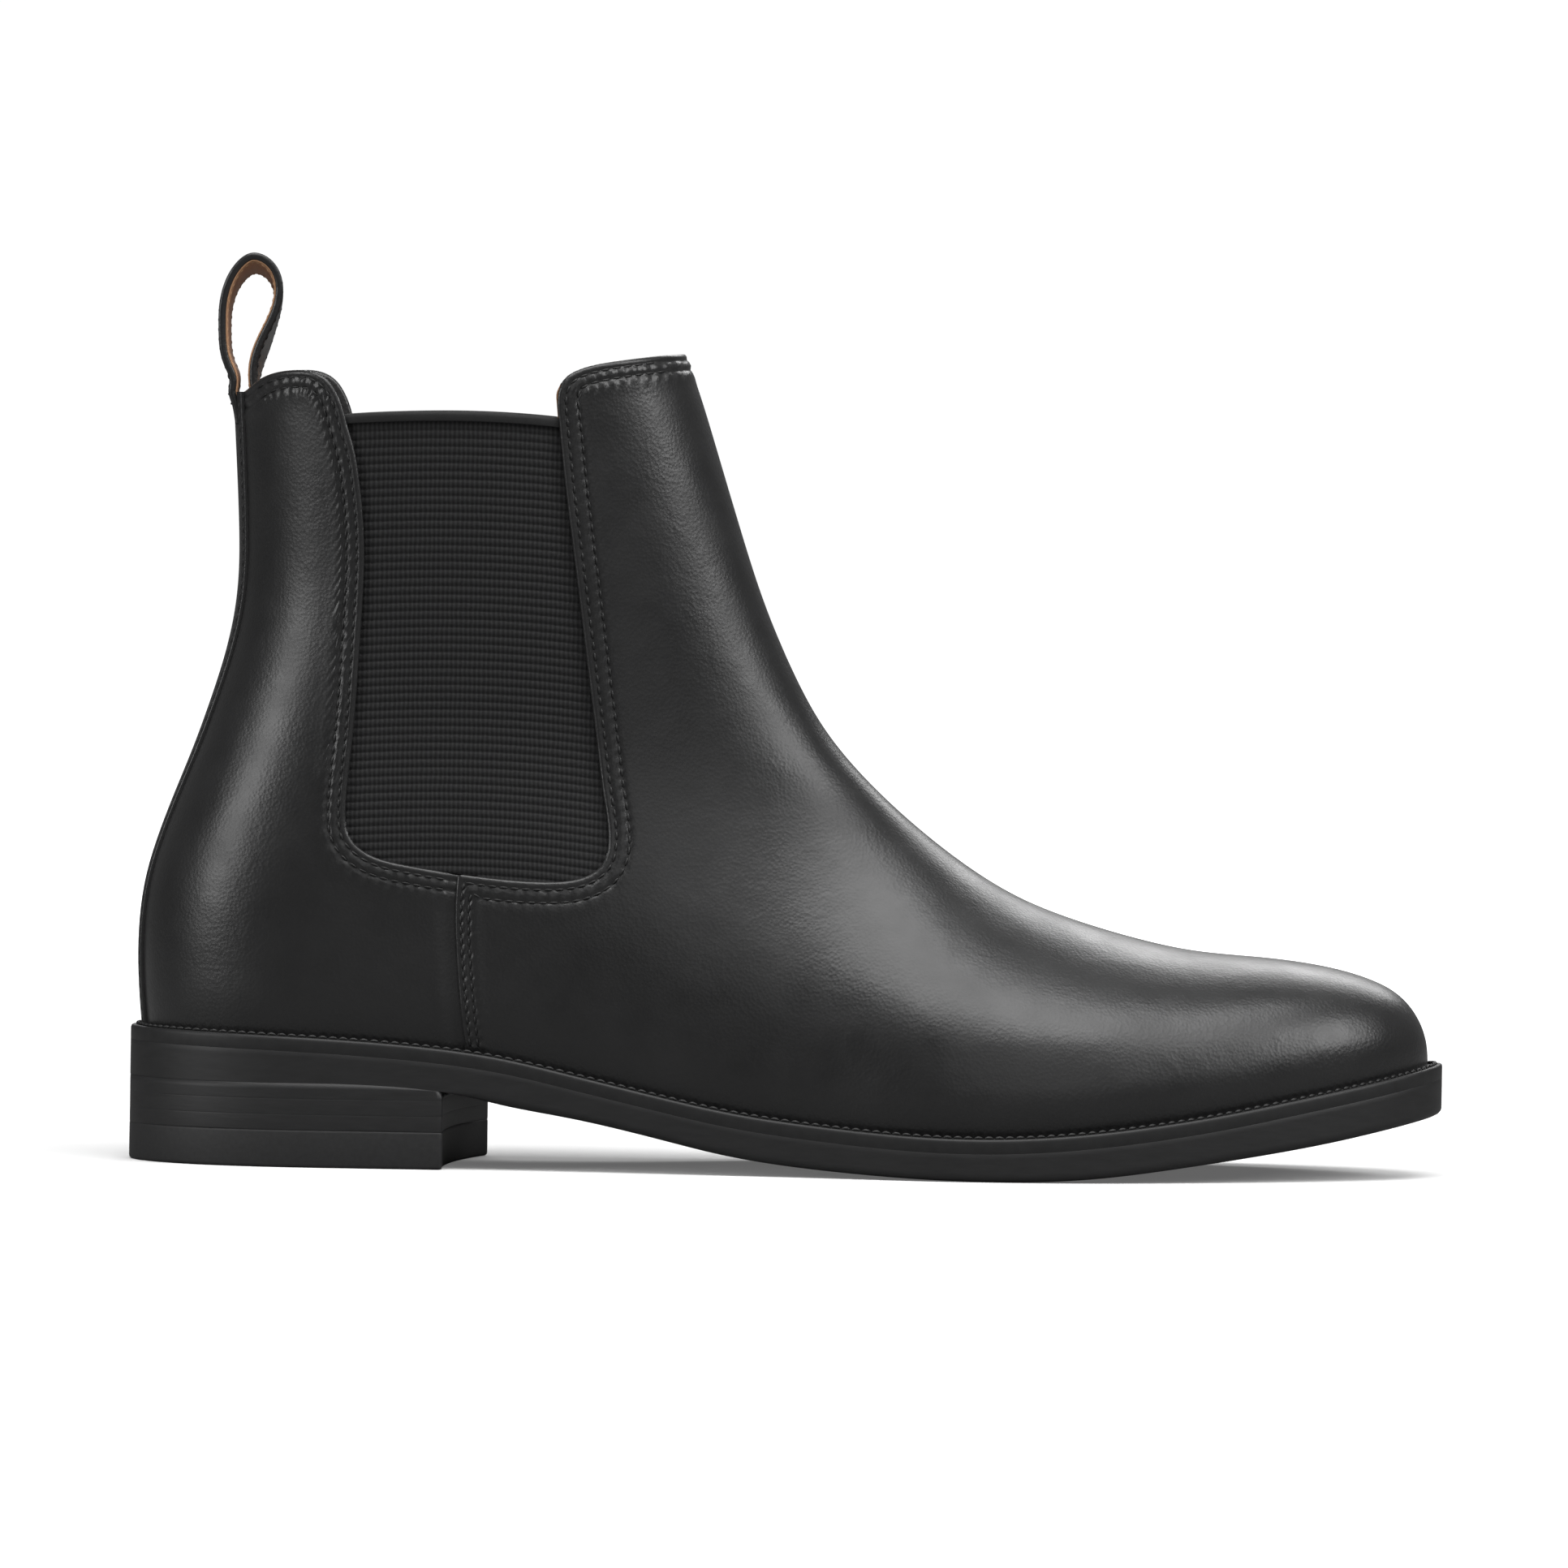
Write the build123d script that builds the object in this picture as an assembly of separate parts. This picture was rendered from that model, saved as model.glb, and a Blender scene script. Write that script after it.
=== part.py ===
from build123d import *
import os

import numpy as np

# Black leather chelsea boot for the right foot, size EU 43, as its separate pieces, in millimetres.
#
# The shapes are worked out in a last frame: X runs from the back of the heel (0) to the toe, -Y is the outer
# (lateral) side, +Y the inner (medial) side, and Z is the height above the floor. `write_all` moves each piece
# to the row frame, whose origin is at the centre of the boot's footprint.

# ---------------------------------------------------------------- driving dimensions
TOE_TIP_X = 302.0          # front of the leather upper
OUTER_LEATHER = 1.5
LINING_IN = 3.3            # depth of the lining's inner face under the outer face
STIFFENER_IN = 2.4                        # toe puff, heel counter and elastic lie from 1.5 to here
STRIP_THICKNESS, STRIP_HALF_WIDTH, STRIP_LOW_HALF = 0.9, 10.5, 6.0
STRIP_SPAN = (20.0, 179.4)                # heights of the back strip's taper
WELT_REACH = 3.4           # how far the welt stands out past the upper
WELT_THICKNESS = 3.4
WELT_INNER = 7.0           # the welt runs this far in under the upper
INSOLE_THICKNESS = 2.4
FOAM_THICKNESS, SOCK_THICKNESS = 1.6, 1.2
INSIDE_GAP = 0.1           # the insole's edge stands clear of the lining
RIB_WIDTH = 2.2            # canvas rib under the insole, which the welt is sewn to
SHANK_SPAN, SHANK_HALF_WIDTH, SHANK_DEPTH, SHANK_THICKNESS = (45, 150), 7.0, 0.8, 1.4
HEEL_NAILS = [(16, -9), (16, 9), (34, -19), (34, 19), (56, -20), (56, 19)]
NAIL_RADIUS, HEEL_NAIL_SPAN = 0.9, (12.0, 29.0)
LIFT_PINS = [(7, -12), (4.5, 0), (7, 12), (20, -22), (20, 22), (38, -26), (38, 26), (56, -27), (58, 26)]
PIN_RADIUS, PIN_RECESS = 0.9, 0.15
STITCH_REACH, SEAM_HALF_WIDTH, SEAM_HEIGHT = 2.0, 0.4, 0.55    # the lockstitch seam lying on the welt
TOP_LIFT_HEIGHT = 8.6      # the rubber layer that stands on the floor
HEEL_LIFTS = 3
HEEL_REACH = 3.3           # the heel's sides stand this far out past the upper's edge
# the heel's front face: its outer corner, how much further forward the inner corner is, its hollow, and how far
# the corners are from the centre line
BREAST_OUTER_X, BREAST_SKEW, BREAST_HOLLOW, BREAST_HALF = 72.5, 10.5, 3.0, 35.0
TOOL_REACH = 60.0          # half width of the tools that cut plan shapes
TAB_HALF_WIDTH, TAB_CLEARANCE = 8.5, 0.6
TAB_LINING = 0.8           # tan leather inside the loop
TAB_ROOM_FLOOR = 179.4     # the topline is cut level here, under the tab's fold
ANCHOR_SPAN = (170.0, 179.4)              # heights of the strap's sewn-down ends
ANCHOR_THICKNESS = 1.0
SIDE_POINTS = 22           # points along each side of a body section

# ---------------------------------------------------------------- profiles, side view (x, z)
RIDGE = [(302, 25.9), (301.6, 31), (299.4, 37), (295, 42.2), (288, 45.9), (276, 49.0), (262, 50.7), (247, 52.0),
         (233, 54.8), (219, 58.8), (206, 63.8), (193, 71.4), (181, 80.5), (169.5, 91), (159.5, 102.8),
         (151.5, 117), (145, 132), (139.2, 149), (133.7, 166.5), (128.3, 183), (119.5, 205), (109.5, 232),
         (97.5, 266)]
BACK_X = ([26, 36, 46, 56, 66, 76, 86, 96, 106, 116, 126, 136, 150, 165, 180, 205],
          [2.6, 1.6, 1.0, 1.2, 2.6, 5.5, 9.2, 13.1, 16.6, 19.7, 22.0, 23.1, 23.0, 22.2, 21.3, 20.0])
FEATHER_Z = ([-6, 36, 60, 75, 86, 101, 120, 139, 158, 177, 195.5, 214, 233, 252, 270, 289, 312],
             [31.4, 30.3, 29.0, 27.6, 26.0, 22.8, 18.5, 14.6, 12.1, 10.5, 9.9, 10.6, 12.6, 15.5, 19.0, 22.9, 28.1])
TREAD_Z = ([-6, 30, 60, 76, 86, 102, 113, 124, 136, 150, 166, 182, 196, 210, 224, 242, 261, 278, 293, 312],
           [19.8, 19.6, 19.2, 17.4, 15.2, 12.4, 10.2, 7.7, 5.0, 2.8, 1.3, 0.4, 0.05, 0.15, 1.0, 3.2, 6.0, 8.9, 12.0,
            16.2])

# half widths of the foot part, by x, before the toe rounds off, and of the shaft, by height
LATERAL_WIDTH = ([0, 30, 55, 80, 110, 140, 170, 200, 225, 250, 275, 305],
                 [31.5, 32.5, 33, 33.8, 37, 42.5, 49, 53.5, 52.5, 48.5, 44.5, 41])
MEDIAL_WIDTH = ([0, 30, 55, 80, 110, 140, 170, 200, 225, 250, 275, 305],
                [31.5, 32, 32, 30.8, 29.5, 32, 38.5, 44.5, 45.5, 44, 42.5, 41])
SHAFT_WIDTH = ([20, 50, 75, 100, 125, 150, 180, 210, 270], [33, 33.2, 31.8, 31, 31.2, 32, 33.2, 34.2, 36])

# topline and panel outlines, side view
REAR_TOPLINE = [(14, 176.6), (20, 178.2), (23, 179.4), (26, 181.8), (29.5, 183.5), (34.5, 184.4), (39.5, 184.1),
                (42.6, 182.6), (45, 179.6), (46.6, 176), (47.7, 172)]
GUSSET_REAR_EDGE = [(47.7, 172), (49.3, 167), (50.8, 159), (51.9, 149), (52.2, 141), (51.9, 130), (51.3, 118),
                    (50.4, 102), (49.4, 91), (48.9, 82), (49.6, 77.4), (53.2, 73.5), (63, 70.4), (75, 68.6)]
GUSSET_FRONT_EDGE = [(75, 68.6), (88, 67.3), (97, 67.1), (104, 68.2), (108.6, 71.4), (109.9, 77), (108.7, 86.5),
                     (107.2, 97), (104.6, 116), (101.6, 138), (98.6, 160), (97.0, 174)]
FRONT_TOPLINE = [(97.0, 174), (96.9, 180.5), (98.2, 183.4), (101.5, 185.6), (108, 187.4), (116, 188.7),
                 (123, 189.6), (132, 190)]
SIDE_SEAM = [(75, 68.6), (74.7, 64), (74.7, 56), (75.2, 48), (75.8, 41), (76.7, 33), (77.8, 24), (78.5, 10)]
ELASTIC_OUTLINE = [(41, 173.3), (42.6, 160), (44.6, 141), (44.4, 118), (43.2, 96), (41.8, 82), (43, 72), (50, 65),
                   (63, 62.5), (76, 61.5), (90, 60.5), (104, 60.8), (114, 64), (117, 74), (115.5, 90), (112, 116),
                   (108.5, 140), (105, 160), (103.5, 173.0)]
BINDING_LINE = [(48.4, 173.9), (60, 174.6), (73, 174.9), (86, 174.6), (96.4, 173.9)]
BINDING_RISE, BINDING_OUT, BINDING_IN = 0.5, 0.8, 3.1
TOE_PUFF_EDGE = [(251, 5), (250, 20), (253, 40), (262, 60)]
COUNTER_EDGE = [(65, 20), (62, 36), (52, 54), (38, 70), (20, 81), (-10, 84)]
ELASTIC_TOP = [(41, 173.3), (60, 174.6), (73, 174.9), (86, 174.6), (103.5, 173.0)]
BINDING_DEPTH = 2.0        # the band along the elastic's top edge

# the raw body's sections lie in parallel planes tilted 45 degrees; these are their values of x - z
SECTIONS = [-165, -141, -118, -96, -74, -53, -32, -12, 8, 27, 45.5, 63.5, 81, 98, 114.5, 130.5, 146, 161, 175.5,
            189.5, 203, 216, 228, 239, 249, 258, 265.5, 271, 275]
TOE_POLE = (300.6, 7.0, 20.6)
HIDDEN_DEPTH, HIDDEN_ROUND = 10.0, 14.0    # the raw body closes this far under the sole's edge
FLOOR_CORNER_Z = 26.0      # the back ends and the hidden floor starts here
EDGE_BACK_Z = 31.0         # height of the sole's top edge at the back
SOLE_BACK, SOLE_FRONT = -6, 312            # the height curves run between these, just past both ends of the sole
TOOL_TOP = 240

HEEL_ROUND = 45.0          # how far in from the back the heel reaches its full width
TOE_ROUND_START, TOE_ROUND_POWER = 205.0, 2.6
DOME_POWER, OVAL_POWER, BACK_POWER = 2.2, 2.3, 2.4
INSTEP_BLEND = (150.0, 190.0)
INSTEP_FOOT, OVAL_SLOPE, OVAL_SPREAD = 75.0, 1.3, 0.0146
TUCK_HEIGHT, TUCK_SHARE, ARCH_TUCK_SHARE = 12.0, 0.045, 0.09
ARCH_MIDDLE, ARCH_SPREAD = 112.0, 30.0     # the inner side is drawn in round here, above the arch
SHAFT_BLEND = (20.0, 60.0)  # height above the edge where foot width starts to give way to shaft width, and its run
TOE_SWING = 7.0            # the toe's tip lies this far to the medial side
SWING_START, SWING_RUN = 150.0, 150.0

# pull tab, outer face of the loop, from the back leg over the top to the front leg
TAB_LOOP = [(22.4, 180.1), (20.9, 181.0), (19.9, 182.6), (18.6, 184.9), (17.4, 188.5), (16.9, 194), (17.0, 199.5),
            (18.0, 204.2), (20.4, 208.8), (24.6, 211.8), (29, 210.2), (31.8, 205.4), (31.7, 200.4), (29.9, 195.2),
            (27.4, 190.6), (25.4, 186.4), (24.6, 183.3), (23.9, 181.0)]
# the clear hole inside the loop
TAB_HOLE = [(22.3, 184.9), (21.2, 185.8), (20.0, 187.9), (19.0, 191), (18.8, 195.5), (19.2, 200), (20.4, 203.8),
            (22.2, 207.0), (25.0, 208.6), (27.8, 206.6), (29.4, 203.3), (29.5, 199.6), (28.1, 195.6), (25.9, 191.2),
            (24.2, 187.4), (23.3, 185.5)]


def smooth_curve(xs, ys):
    """A natural cubic spline y(x) through the points, as a function."""
    x, y = np.array(xs, float), np.array(ys, float)
    gap = np.diff(x)
    n = len(x)
    a, r = np.eye(n), np.zeros(n)
    for i in range(1, n - 1):
        a[i, i - 1:i + 2] = gap[i - 1], 2 * (gap[i - 1] + gap[i]), gap[i]
        r[i] = 6 * ((y[i + 1] - y[i]) / gap[i] - (y[i] - y[i - 1]) / gap[i - 1])
    m = np.linalg.solve(a, r)

    def value(q):
        q = np.asarray(q, float)
        i = np.clip(np.searchsorted(x, q) - 1, 0, n - 2)
        s, t, h = x[i + 1] - q, q - x[i], gap[i]
        return (m[i] * s**3 + m[i + 1] * t**3) / (6 * h) + (y[i] / h - m[i] * h / 6) * s + (
            y[i + 1] / h - m[i + 1] * h / 6) * t

    return value


def smooth_path(points, samples):
    """Evenly spaced points along a smooth plane curve through the given ones."""
    p = np.array(points, float)
    s = np.concatenate([[0], np.cumsum(np.hypot(*np.diff(p, axis=0).T))])
    fx, fz = smooth_curve(s, p[:, 0]), smooth_curve(s, p[:, 1])
    t = np.linspace(0, s[-1], samples * 4)
    x, z = fx(t), fz(t)
    length = np.concatenate([[0], np.cumsum(np.hypot(np.diff(x), np.diff(z)))])
    even = np.linspace(0, length[-1], samples)
    return np.interp(even, length, x), np.interp(even, length, z)


ridge_x, ridge_z = smooth_path(RIDGE, 1500)
back_x = smooth_curve(*BACK_X)
feather_z = smooth_curve(*FEATHER_Z)
tread_z = smooth_curve(*TREAD_Z)
lateral_width = smooth_curve(*LATERAL_WIDTH)
medial_width = smooth_curve(*MEDIAL_WIDTH)
shaft_width = smooth_curve(*SHAFT_WIDTH)


def smoothstep(t):
    """Rises smoothly from 0 at t = 0 to 1 at t = 1."""
    t = np.clip(t, 0, 1)
    return t * t * (3 - 2 * t)


def centre_y(x):
    """The last's centre line in plan: straight, then swinging inward to the toe."""
    return TOE_SWING * smoothstep((np.asarray(x, float) - SWING_START) / SWING_RUN)


def hidden_floor(x):
    """How far the raw body closes under the sole's edge; the heel and toe ends are rounded up."""
    x = np.asarray(x, float)
    heel = np.clip((HIDDEN_ROUND - x) / HIDDEN_ROUND, 0, 0.98)
    toe = np.clip((x - TOE_TIP_X + HIDDEN_ROUND) / HIDDEN_ROUND, 0, 0.98)
    return HIDDEN_DEPTH * np.sqrt((1 - heel**2) * (1 - toe**2))


def oval_front(z):
    """Where the shaft's oval plan ends in front: on the ridge, and on a smooth curve below the instep."""
    drop = np.maximum(INSTEP_FOOT - z, 0)
    return np.interp(np.maximum(z, INSTEP_FOOT), ridge_z, ridge_x) + OVAL_SLOPE * drop + OVAL_SPREAD * drop ** 2


def half_width(x, z, medial):
    """Half width of the boot's outer face at the side-view point (x, z)."""
    x, z = np.asarray(x, float), np.asarray(z, float)
    low = feather_z(x)
    height = np.maximum(z - low, 0)
    top = np.maximum(np.interp(-x, -ridge_x, ridge_z) - low, 1)
    dome = np.maximum(1 - np.minimum(height / top, 1) ** DOME_POWER, 1e-9)
    plan = np.clip((x - TOE_ROUND_START) / (np.interp(z, ridge_z, ridge_x, left=TOE_TIP_X) - TOE_ROUND_START), 0, 1)
    plan = np.where(x > TOE_ROUND_START, np.maximum(1 - plan ** TOE_ROUND_POWER, 1e-9), 1)
    forepart = 1 / (1 / dome + 1 / plan - 1)
    middle = back_x(np.maximum(z, FLOOR_CORNER_Z)) + HEEL_ROUND
    oval = 1 - np.clip((x - middle) / (oval_front(z) - middle), 0, 1) ** OVAL_POWER
    share = smoothstep((INSTEP_BLEND[1] - x) / (INSTEP_BLEND[1] - INSTEP_BLEND[0]))
    heel = 1 - np.clip((middle - x) / HEEL_ROUND, 0, 1) ** BACK_POWER
    foot = (medial_width if medial else lateral_width)(x)
    up = smoothstep((height - SHAFT_BLEND[0]) / SHAFT_BLEND[1])
    base = foot * (1 - up) + shaft_width(z) * up
    under = 1 - np.clip((low - z) / hidden_floor(x), 0, 1) ** 2
    square = ((1 - share) * forepart + share * oval) * heel * under
    tuck = TUCK_SHARE + (ARCH_TUCK_SHARE * np.exp(-((x - ARCH_MIDDLE) / ARCH_SPREAD) ** 2) if medial else 0)
    return base * np.sqrt(np.maximum(square, 0)) * (1 - tuck * (1 - np.minimum(height / TUCK_HEIGHT, 1)) ** 2)


def section_ends(tilts):
    """Ends of the body's sections in side view: on the ridge at the front and on the back or the hidden floor."""
    z = np.linspace(205, FLOOR_CORNER_Z, 400)
    x = np.linspace(3, 292, 1200)
    rear_x = np.concatenate([back_x(z), x])
    rear_z = np.concatenate([z, feather_z(x) - hidden_floor(x)])
    order = np.argsort(rear_x - rear_z)
    rear_x, rear_z = rear_x[order], rear_z[order]
    front = ridge_x - ridge_z
    x_front = np.interp(tilts, front[::-1], ridge_x[::-1])
    x_back = np.interp(tilts, rear_x - rear_z, rear_x)
    return np.stack([x_front, x_front - tilts, x_back, x_back - tilts], axis=1)


def section(x_front, z_front, x_back, z_back, points):
    """One closed section of the outer face, from the ridge round the lateral side to the back and home again."""
    h = (1 - np.cos(np.pi * np.arange(points + 1) / points)) / 2
    x = x_front + h * (x_back - x_front)
    z = z_front + h * (z_back - z_front)
    sides = []
    for medial in (False, True):
        w = half_width(x, z, medial)
        w[[0, -1]] = 0
        sides.append(np.stack([x, centre_y(x) + (w if medial else -w), z], axis=1))
    return np.concatenate([sides[0][:-1], sides[1][:0:-1]])


def body_grid():
    """Section points of the outer face and the unit normals there, worked out on a finer grid."""
    fine = 4
    known = np.arange(len(SECTIONS)) * fine
    rows = section_ends(smooth_curve(known, SECTIONS)(np.arange(known[-1] + 1)))
    grid = np.array([section(*row, SIDE_POINTS * fine) for row in rows])
    around = np.roll(grid, -1, axis=1) - np.roll(grid, 1, axis=1)
    n = np.cross(around, np.gradient(grid, axis=0))
    half_way = grid.shape[1] // 2
    for end in (0, half_way):
        n[:, end] = (n[:, end - 2] / np.linalg.norm(n[:, end - 2], axis=1, keepdims=True)
                     + n[:, end + 2] / np.linalg.norm(n[:, end + 2], axis=1, keepdims=True))
    n /= np.linalg.norm(n, axis=2, keepdims=True)
    if n[4, 0, 0] < 0:
        n = -n
    return grid[::fine, ::fine], n[::fine, ::fine]


BODY_GRID, BODY_NORMALS = body_grid()


def body(depth):
    """The solid whose face lies depth millimetres inside the outer face of the leather."""
    grid = BODY_GRID - depth * BODY_NORMALS
    slip = (grid[0, :, 0] - grid[0, :, 2] - SECTIONS[0]) / 2
    grid[0] -= slip[:, None] * [1, 0, -1]
    count = grid.shape[1]
    spacing = [i / count for i in range(count + 1)]
    wires = []
    for row in grid:
        points = [Vector(*p) for p in np.roll(row, -count // 4, axis=0)]
        wires.append(Wire([Edge.make_spline(points, periodic=True, parameters=spacing)]))
    x, y, z = TOE_POLE
    return Solid.make_loft([*wires, Vertex(x - depth, y, z + depth)])


def feather_edge(points=40):
    """Plan points of the upper's bottom edge, all the way round."""
    h = (1 - np.cos(np.pi * np.arange(points + 1) / points)) / 2
    x_back = float(back_x(EDGE_BACK_Z))
    x = x_back + h * (TOE_TIP_X - x_back)
    sides = []
    for medial in (False, True):
        w = half_width(x, feather_z(x), medial)
        w[[0, -1]] = 0
        sides.append(np.stack([x, centre_y(x) + (w if medial else -w)], axis=1))
    return np.concatenate([sides[0][:-1], sides[1][:0:-1]])


def outline(reach):
    """Plan outline of the upper's edge moved outward by reach."""
    edge = feather_edge()
    along = np.roll(edge, -1, axis=0) - np.roll(edge, 1, axis=0)
    normal = np.stack([along[:, 1], -along[:, 0]], axis=1)
    normal /= np.linalg.norm(normal, axis=1, keepdims=True)
    if np.mean(np.sum(normal * (edge - edge.mean(axis=0)), axis=1)) < 0:
        normal = -normal
    return edge + reach * normal


def plan_prism(reach, low=-20, high=60):
    points = [Vector(x, y, low) for x, y in outline(reach)]
    return extrude(Face(Wire([Edge.make_spline(points, periodic=True)])), amount=high - low, dir=(0, 0, 1))


def side_prism(*chains, y0=-90, y1=90):
    """A prism along Y from a side-view outline, made of smooth chains joined end to end by straight lines."""
    edges = []
    for chain in chains:
        points = [Vector(x, y0, z) for x, z in chain]
        edges.append(Edge.make_line(*points) if len(points) == 2 else Edge.make_spline(points))
    joined = []
    for edge, following in zip(edges, edges[1:] + edges[:1]):
        joined.append(edge)
        if (edge @ 1 - following @ 0).length > 1e-6:
            joined.append(Edge.make_line(edge @ 1, following @ 0))
    return extrude(Face(Wire(joined)), amount=y1 - y0, dir=(0, 1, 0))


def level(curve, shift, x0=SOLE_BACK, x1=SOLE_FRONT, step=8):
    """Points of a height curve, raised by shift, for use as a chain."""
    xs = np.linspace(x0, x1, int((x1 - x0) / step) + 1)
    return [(float(x), float(curve(x)) + shift) for x in xs]


def layer(top_curve, top_shift, low_curve, low_shift, x0=SOLE_BACK, x1=SOLE_FRONT):
    """The slab between two height curves."""
    return side_prism(level(top_curve, top_shift, x0, x1), level(low_curve, low_shift, x0, x1)[::-1])


def above_feather(*upper_chains):
    """Everything over the sole's top edge and under the given chains, which run from back to front."""
    return side_prism(*upper_chains, level(feather_z, 0)[::-1])


def half(medial):
    return Pos(150, 60 if medial else -60, 90) * Box(400, 120, 300)


def between(x0, x1, y0=-90, y1=90, z0=-20, z1=TOOL_TOP):
    return Pos((x0 + x1) / 2, (y0 + y1) / 2, (z0 + z1) / 2) * Box(x1 - x0, y1 - y0, z1 - z0)


def front_prism():
    return side_prism(GUSSET_FRONT_EDGE, FRONT_TOPLINE, [(320, 190), (320, 10)], SIDE_SEAM[::-1])


def rear_prism():
    return side_prism(GUSSET_REAR_EDGE[::-1], REAR_TOPLINE[::-1], [(-20, 176), (-20, 10)], SIDE_SEAM[::-1])


def elastic_prism():
    return side_prism(ELASTIC_OUTLINE, ELASTIC_TOP[::-1])


pieces = {}


def save(name, shape):
    pieces[name] = shape


def make_upper():
    """Leather outside, stiffeners and elastic in the middle, leather lining inside."""
    over = above_feather([(SOLE_BACK, TOOL_TOP), (SOLE_FRONT, TOOL_TOP)])
    outer, middle, under, inside = body(0), body(OUTER_LEATHER), body(STIFFENER_IN), body(LINING_IN)
    front, rear, stretch = front_prism(), rear_prism(), elastic_prism()
    room_half = TAB_HALF_WIDTH + TAB_CLEARANCE
    tab_room = between(5, 32, -room_half, room_half, TAB_ROOM_FLOOR, 200)
    outer_shell = (outer & over) - middle
    save("vamp", outer_shell & front)
    quarters = (outer_shell & rear) - tab_room
    save("quarter_lateral", quarters & half(False))
    save("quarter_medial", quarters & half(True))

    toe_zone = side_prism(TOE_PUFF_EDGE, [(312, 60), (312, 5)])
    heel_zone = side_prism(COUNTER_EDGE, [(-10, 30), (-10, 70)])
    middle_shell = (middle & over) - under
    save("toe_puff", middle_shell & toe_zone)
    save("heel_counter", middle_shell & heel_zone)
    elastic = middle_shell & stretch
    save("gusset_lateral", elastic & half(False))
    save("gusset_medial", elastic & half(True))

    lining = (middle & over) - inside
    front_lining = (lining & front) - (middle_shell & stretch)
    front_lining = front_lining - (middle_shell & toe_zone)
    save("vamp_lining", max(front_lining.solids(), key=lambda solid: solid.bounding_box().diagonal))
    rear_lining = (lining & rear) - (middle_shell & stretch) - tab_room
    rear_lining = rear_lining - (middle_shell & heel_zone)
    save("quarter_lining_lateral", rear_lining & half(False))
    save("quarter_lining_medial", rear_lining & half(True))
    save("gusset_binding_lateral", make_binding(elastic, False))
    save("gusset_binding_medial", make_binding(elastic, True))
    return inside


def make_binding(elastic, medial):
    """A folded tape over the elastic's top edge, between the two leather edges."""
    top = [(x, z + BINDING_RISE) for x, z in BINDING_LINE]
    low = [(x, z - BINDING_DEPTH) for x, z in BINDING_LINE]
    band = side_prism(top, low[::-1]) & half(medial)
    return ((body(BINDING_OUT) & band) - body(BINDING_IN)) - elastic


def make_back_strip():
    low, high = STRIP_SPAN
    points = [Vector(-20, -STRIP_LOW_HALF, low), Vector(-20, -STRIP_HALF_WIDTH, high),
              Vector(-20, STRIP_HALF_WIDTH, high), Vector(-20, STRIP_LOW_HALF, low)]
    plan = extrude(Face(Wire.make_polygon(points, close=True)), amount=70, dir=(1, 0, 0))
    raw = body(-STRIP_THICKNESS) & plan & above_feather([(SOLE_BACK, high), (SOLE_FRONT, high)])
    save("back_strip", raw - body(0))
    anchor_zone = between(0, 45, -TAB_HALF_WIDTH + 0.3, TAB_HALF_WIDTH - 0.3, ANCHOR_SPAN[0], ANCHOR_SPAN[1])
    outer_leg = (body(-STRIP_THICKNESS - ANCHOR_THICKNESS) & anchor_zone) - body(-STRIP_THICKNESS)
    inner_leg = (body(LINING_IN) & anchor_zone) - body(LINING_IN + ANCHOR_THICKNESS)
    save("pull_tab_anchor", Compound([*outer_leg.solids(), *inner_leg.solids()]))


def curve_prism(points, y0, y1):
    edge = Edge.make_spline([Vector(x, y0, z) for x, z in points], periodic=True)
    return extrude(Face(Wire([edge])), amount=y1 - y0, dir=(0, 1, 0))


def grown(points, reach):
    """A closed side-view outline with its points moved outward."""
    p = np.array(points, float)
    along = np.roll(p, -1, axis=0) - np.roll(p, 1, axis=0)
    normal = np.stack([along[:, 1], -along[:, 0]], axis=1)
    normal /= np.linalg.norm(normal, axis=1, keepdims=True)
    if np.sum(normal * (p - p.mean(axis=0))) < 0:
        normal = -normal
    return p + reach * normal


def make_pull_tab():
    """The strap's free loop: black leather outside, tan leather inside, meeting at the fold over the topline."""
    outside = curve_prism(TAB_LOOP, -TAB_HALF_WIDTH, TAB_HALF_WIDTH)
    between_layers = curve_prism(grown(TAB_HOLE, TAB_LINING), -TAB_HALF_WIDTH, TAB_HALF_WIDTH)
    hole = curve_prism(TAB_HOLE, -TAB_HALF_WIDTH, TAB_HALF_WIDTH)
    save("pull_tab", outside - between_layers)
    save("pull_tab_lining", between_layers - hole)


def ring(outer_reach, inner_reach):
    return plan_prism(outer_reach) - plan_prism(inner_reach)


def pins(points, radius, z0, z1):
    return Compound([Pos(x, y, (z0 + z1) / 2) * Cylinder(radius, z1 - z0) for x, y in points])


def make_sole():
    """Welt, rib, cork, shank and outsole, from the upper's edge down to the floor."""
    shank_zone = between(SHANK_SPAN[0], SHANK_SPAN[1], -SHANK_HALF_WIDTH, SHANK_HALF_WIDTH)
    shank = layer(feather_z, -SHANK_DEPTH, feather_z, -SHANK_DEPTH - SHANK_THICKNESS) & shank_zone
    heel_nails = pins(HEEL_NAILS, NAIL_RADIUS, *HEEL_NAIL_SPAN)
    welt_slab = layer(feather_z, 0, feather_z, -WELT_THICKNESS)
    save("welt", welt_slab & ring(WELT_REACH, -WELT_INNER))
    save("insole_rib", welt_slab & ring(-WELT_INNER, -WELT_INNER - RIB_WIDTH))
    save("cork_filler", (welt_slab & plan_prism(-WELT_INNER - RIB_WIDTH)) - shank - heel_nails)
    save("shank", shank)
    outsole = layer(feather_z, -WELT_THICKNESS, tread_z, 0) & plan_prism(WELT_REACH)
    save("outsole", outsole - heel_nails)
    save("heel_nails", heel_nails)


def breast_x(y):
    """The heel's front face in plan: hollow, and slanted forward on the inner side."""
    share = y / BREAST_HALF
    return BREAST_OUTER_X + BREAST_SKEW * (1 + share) / 2 - BREAST_HOLLOW * (1 - share ** 2)


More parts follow.
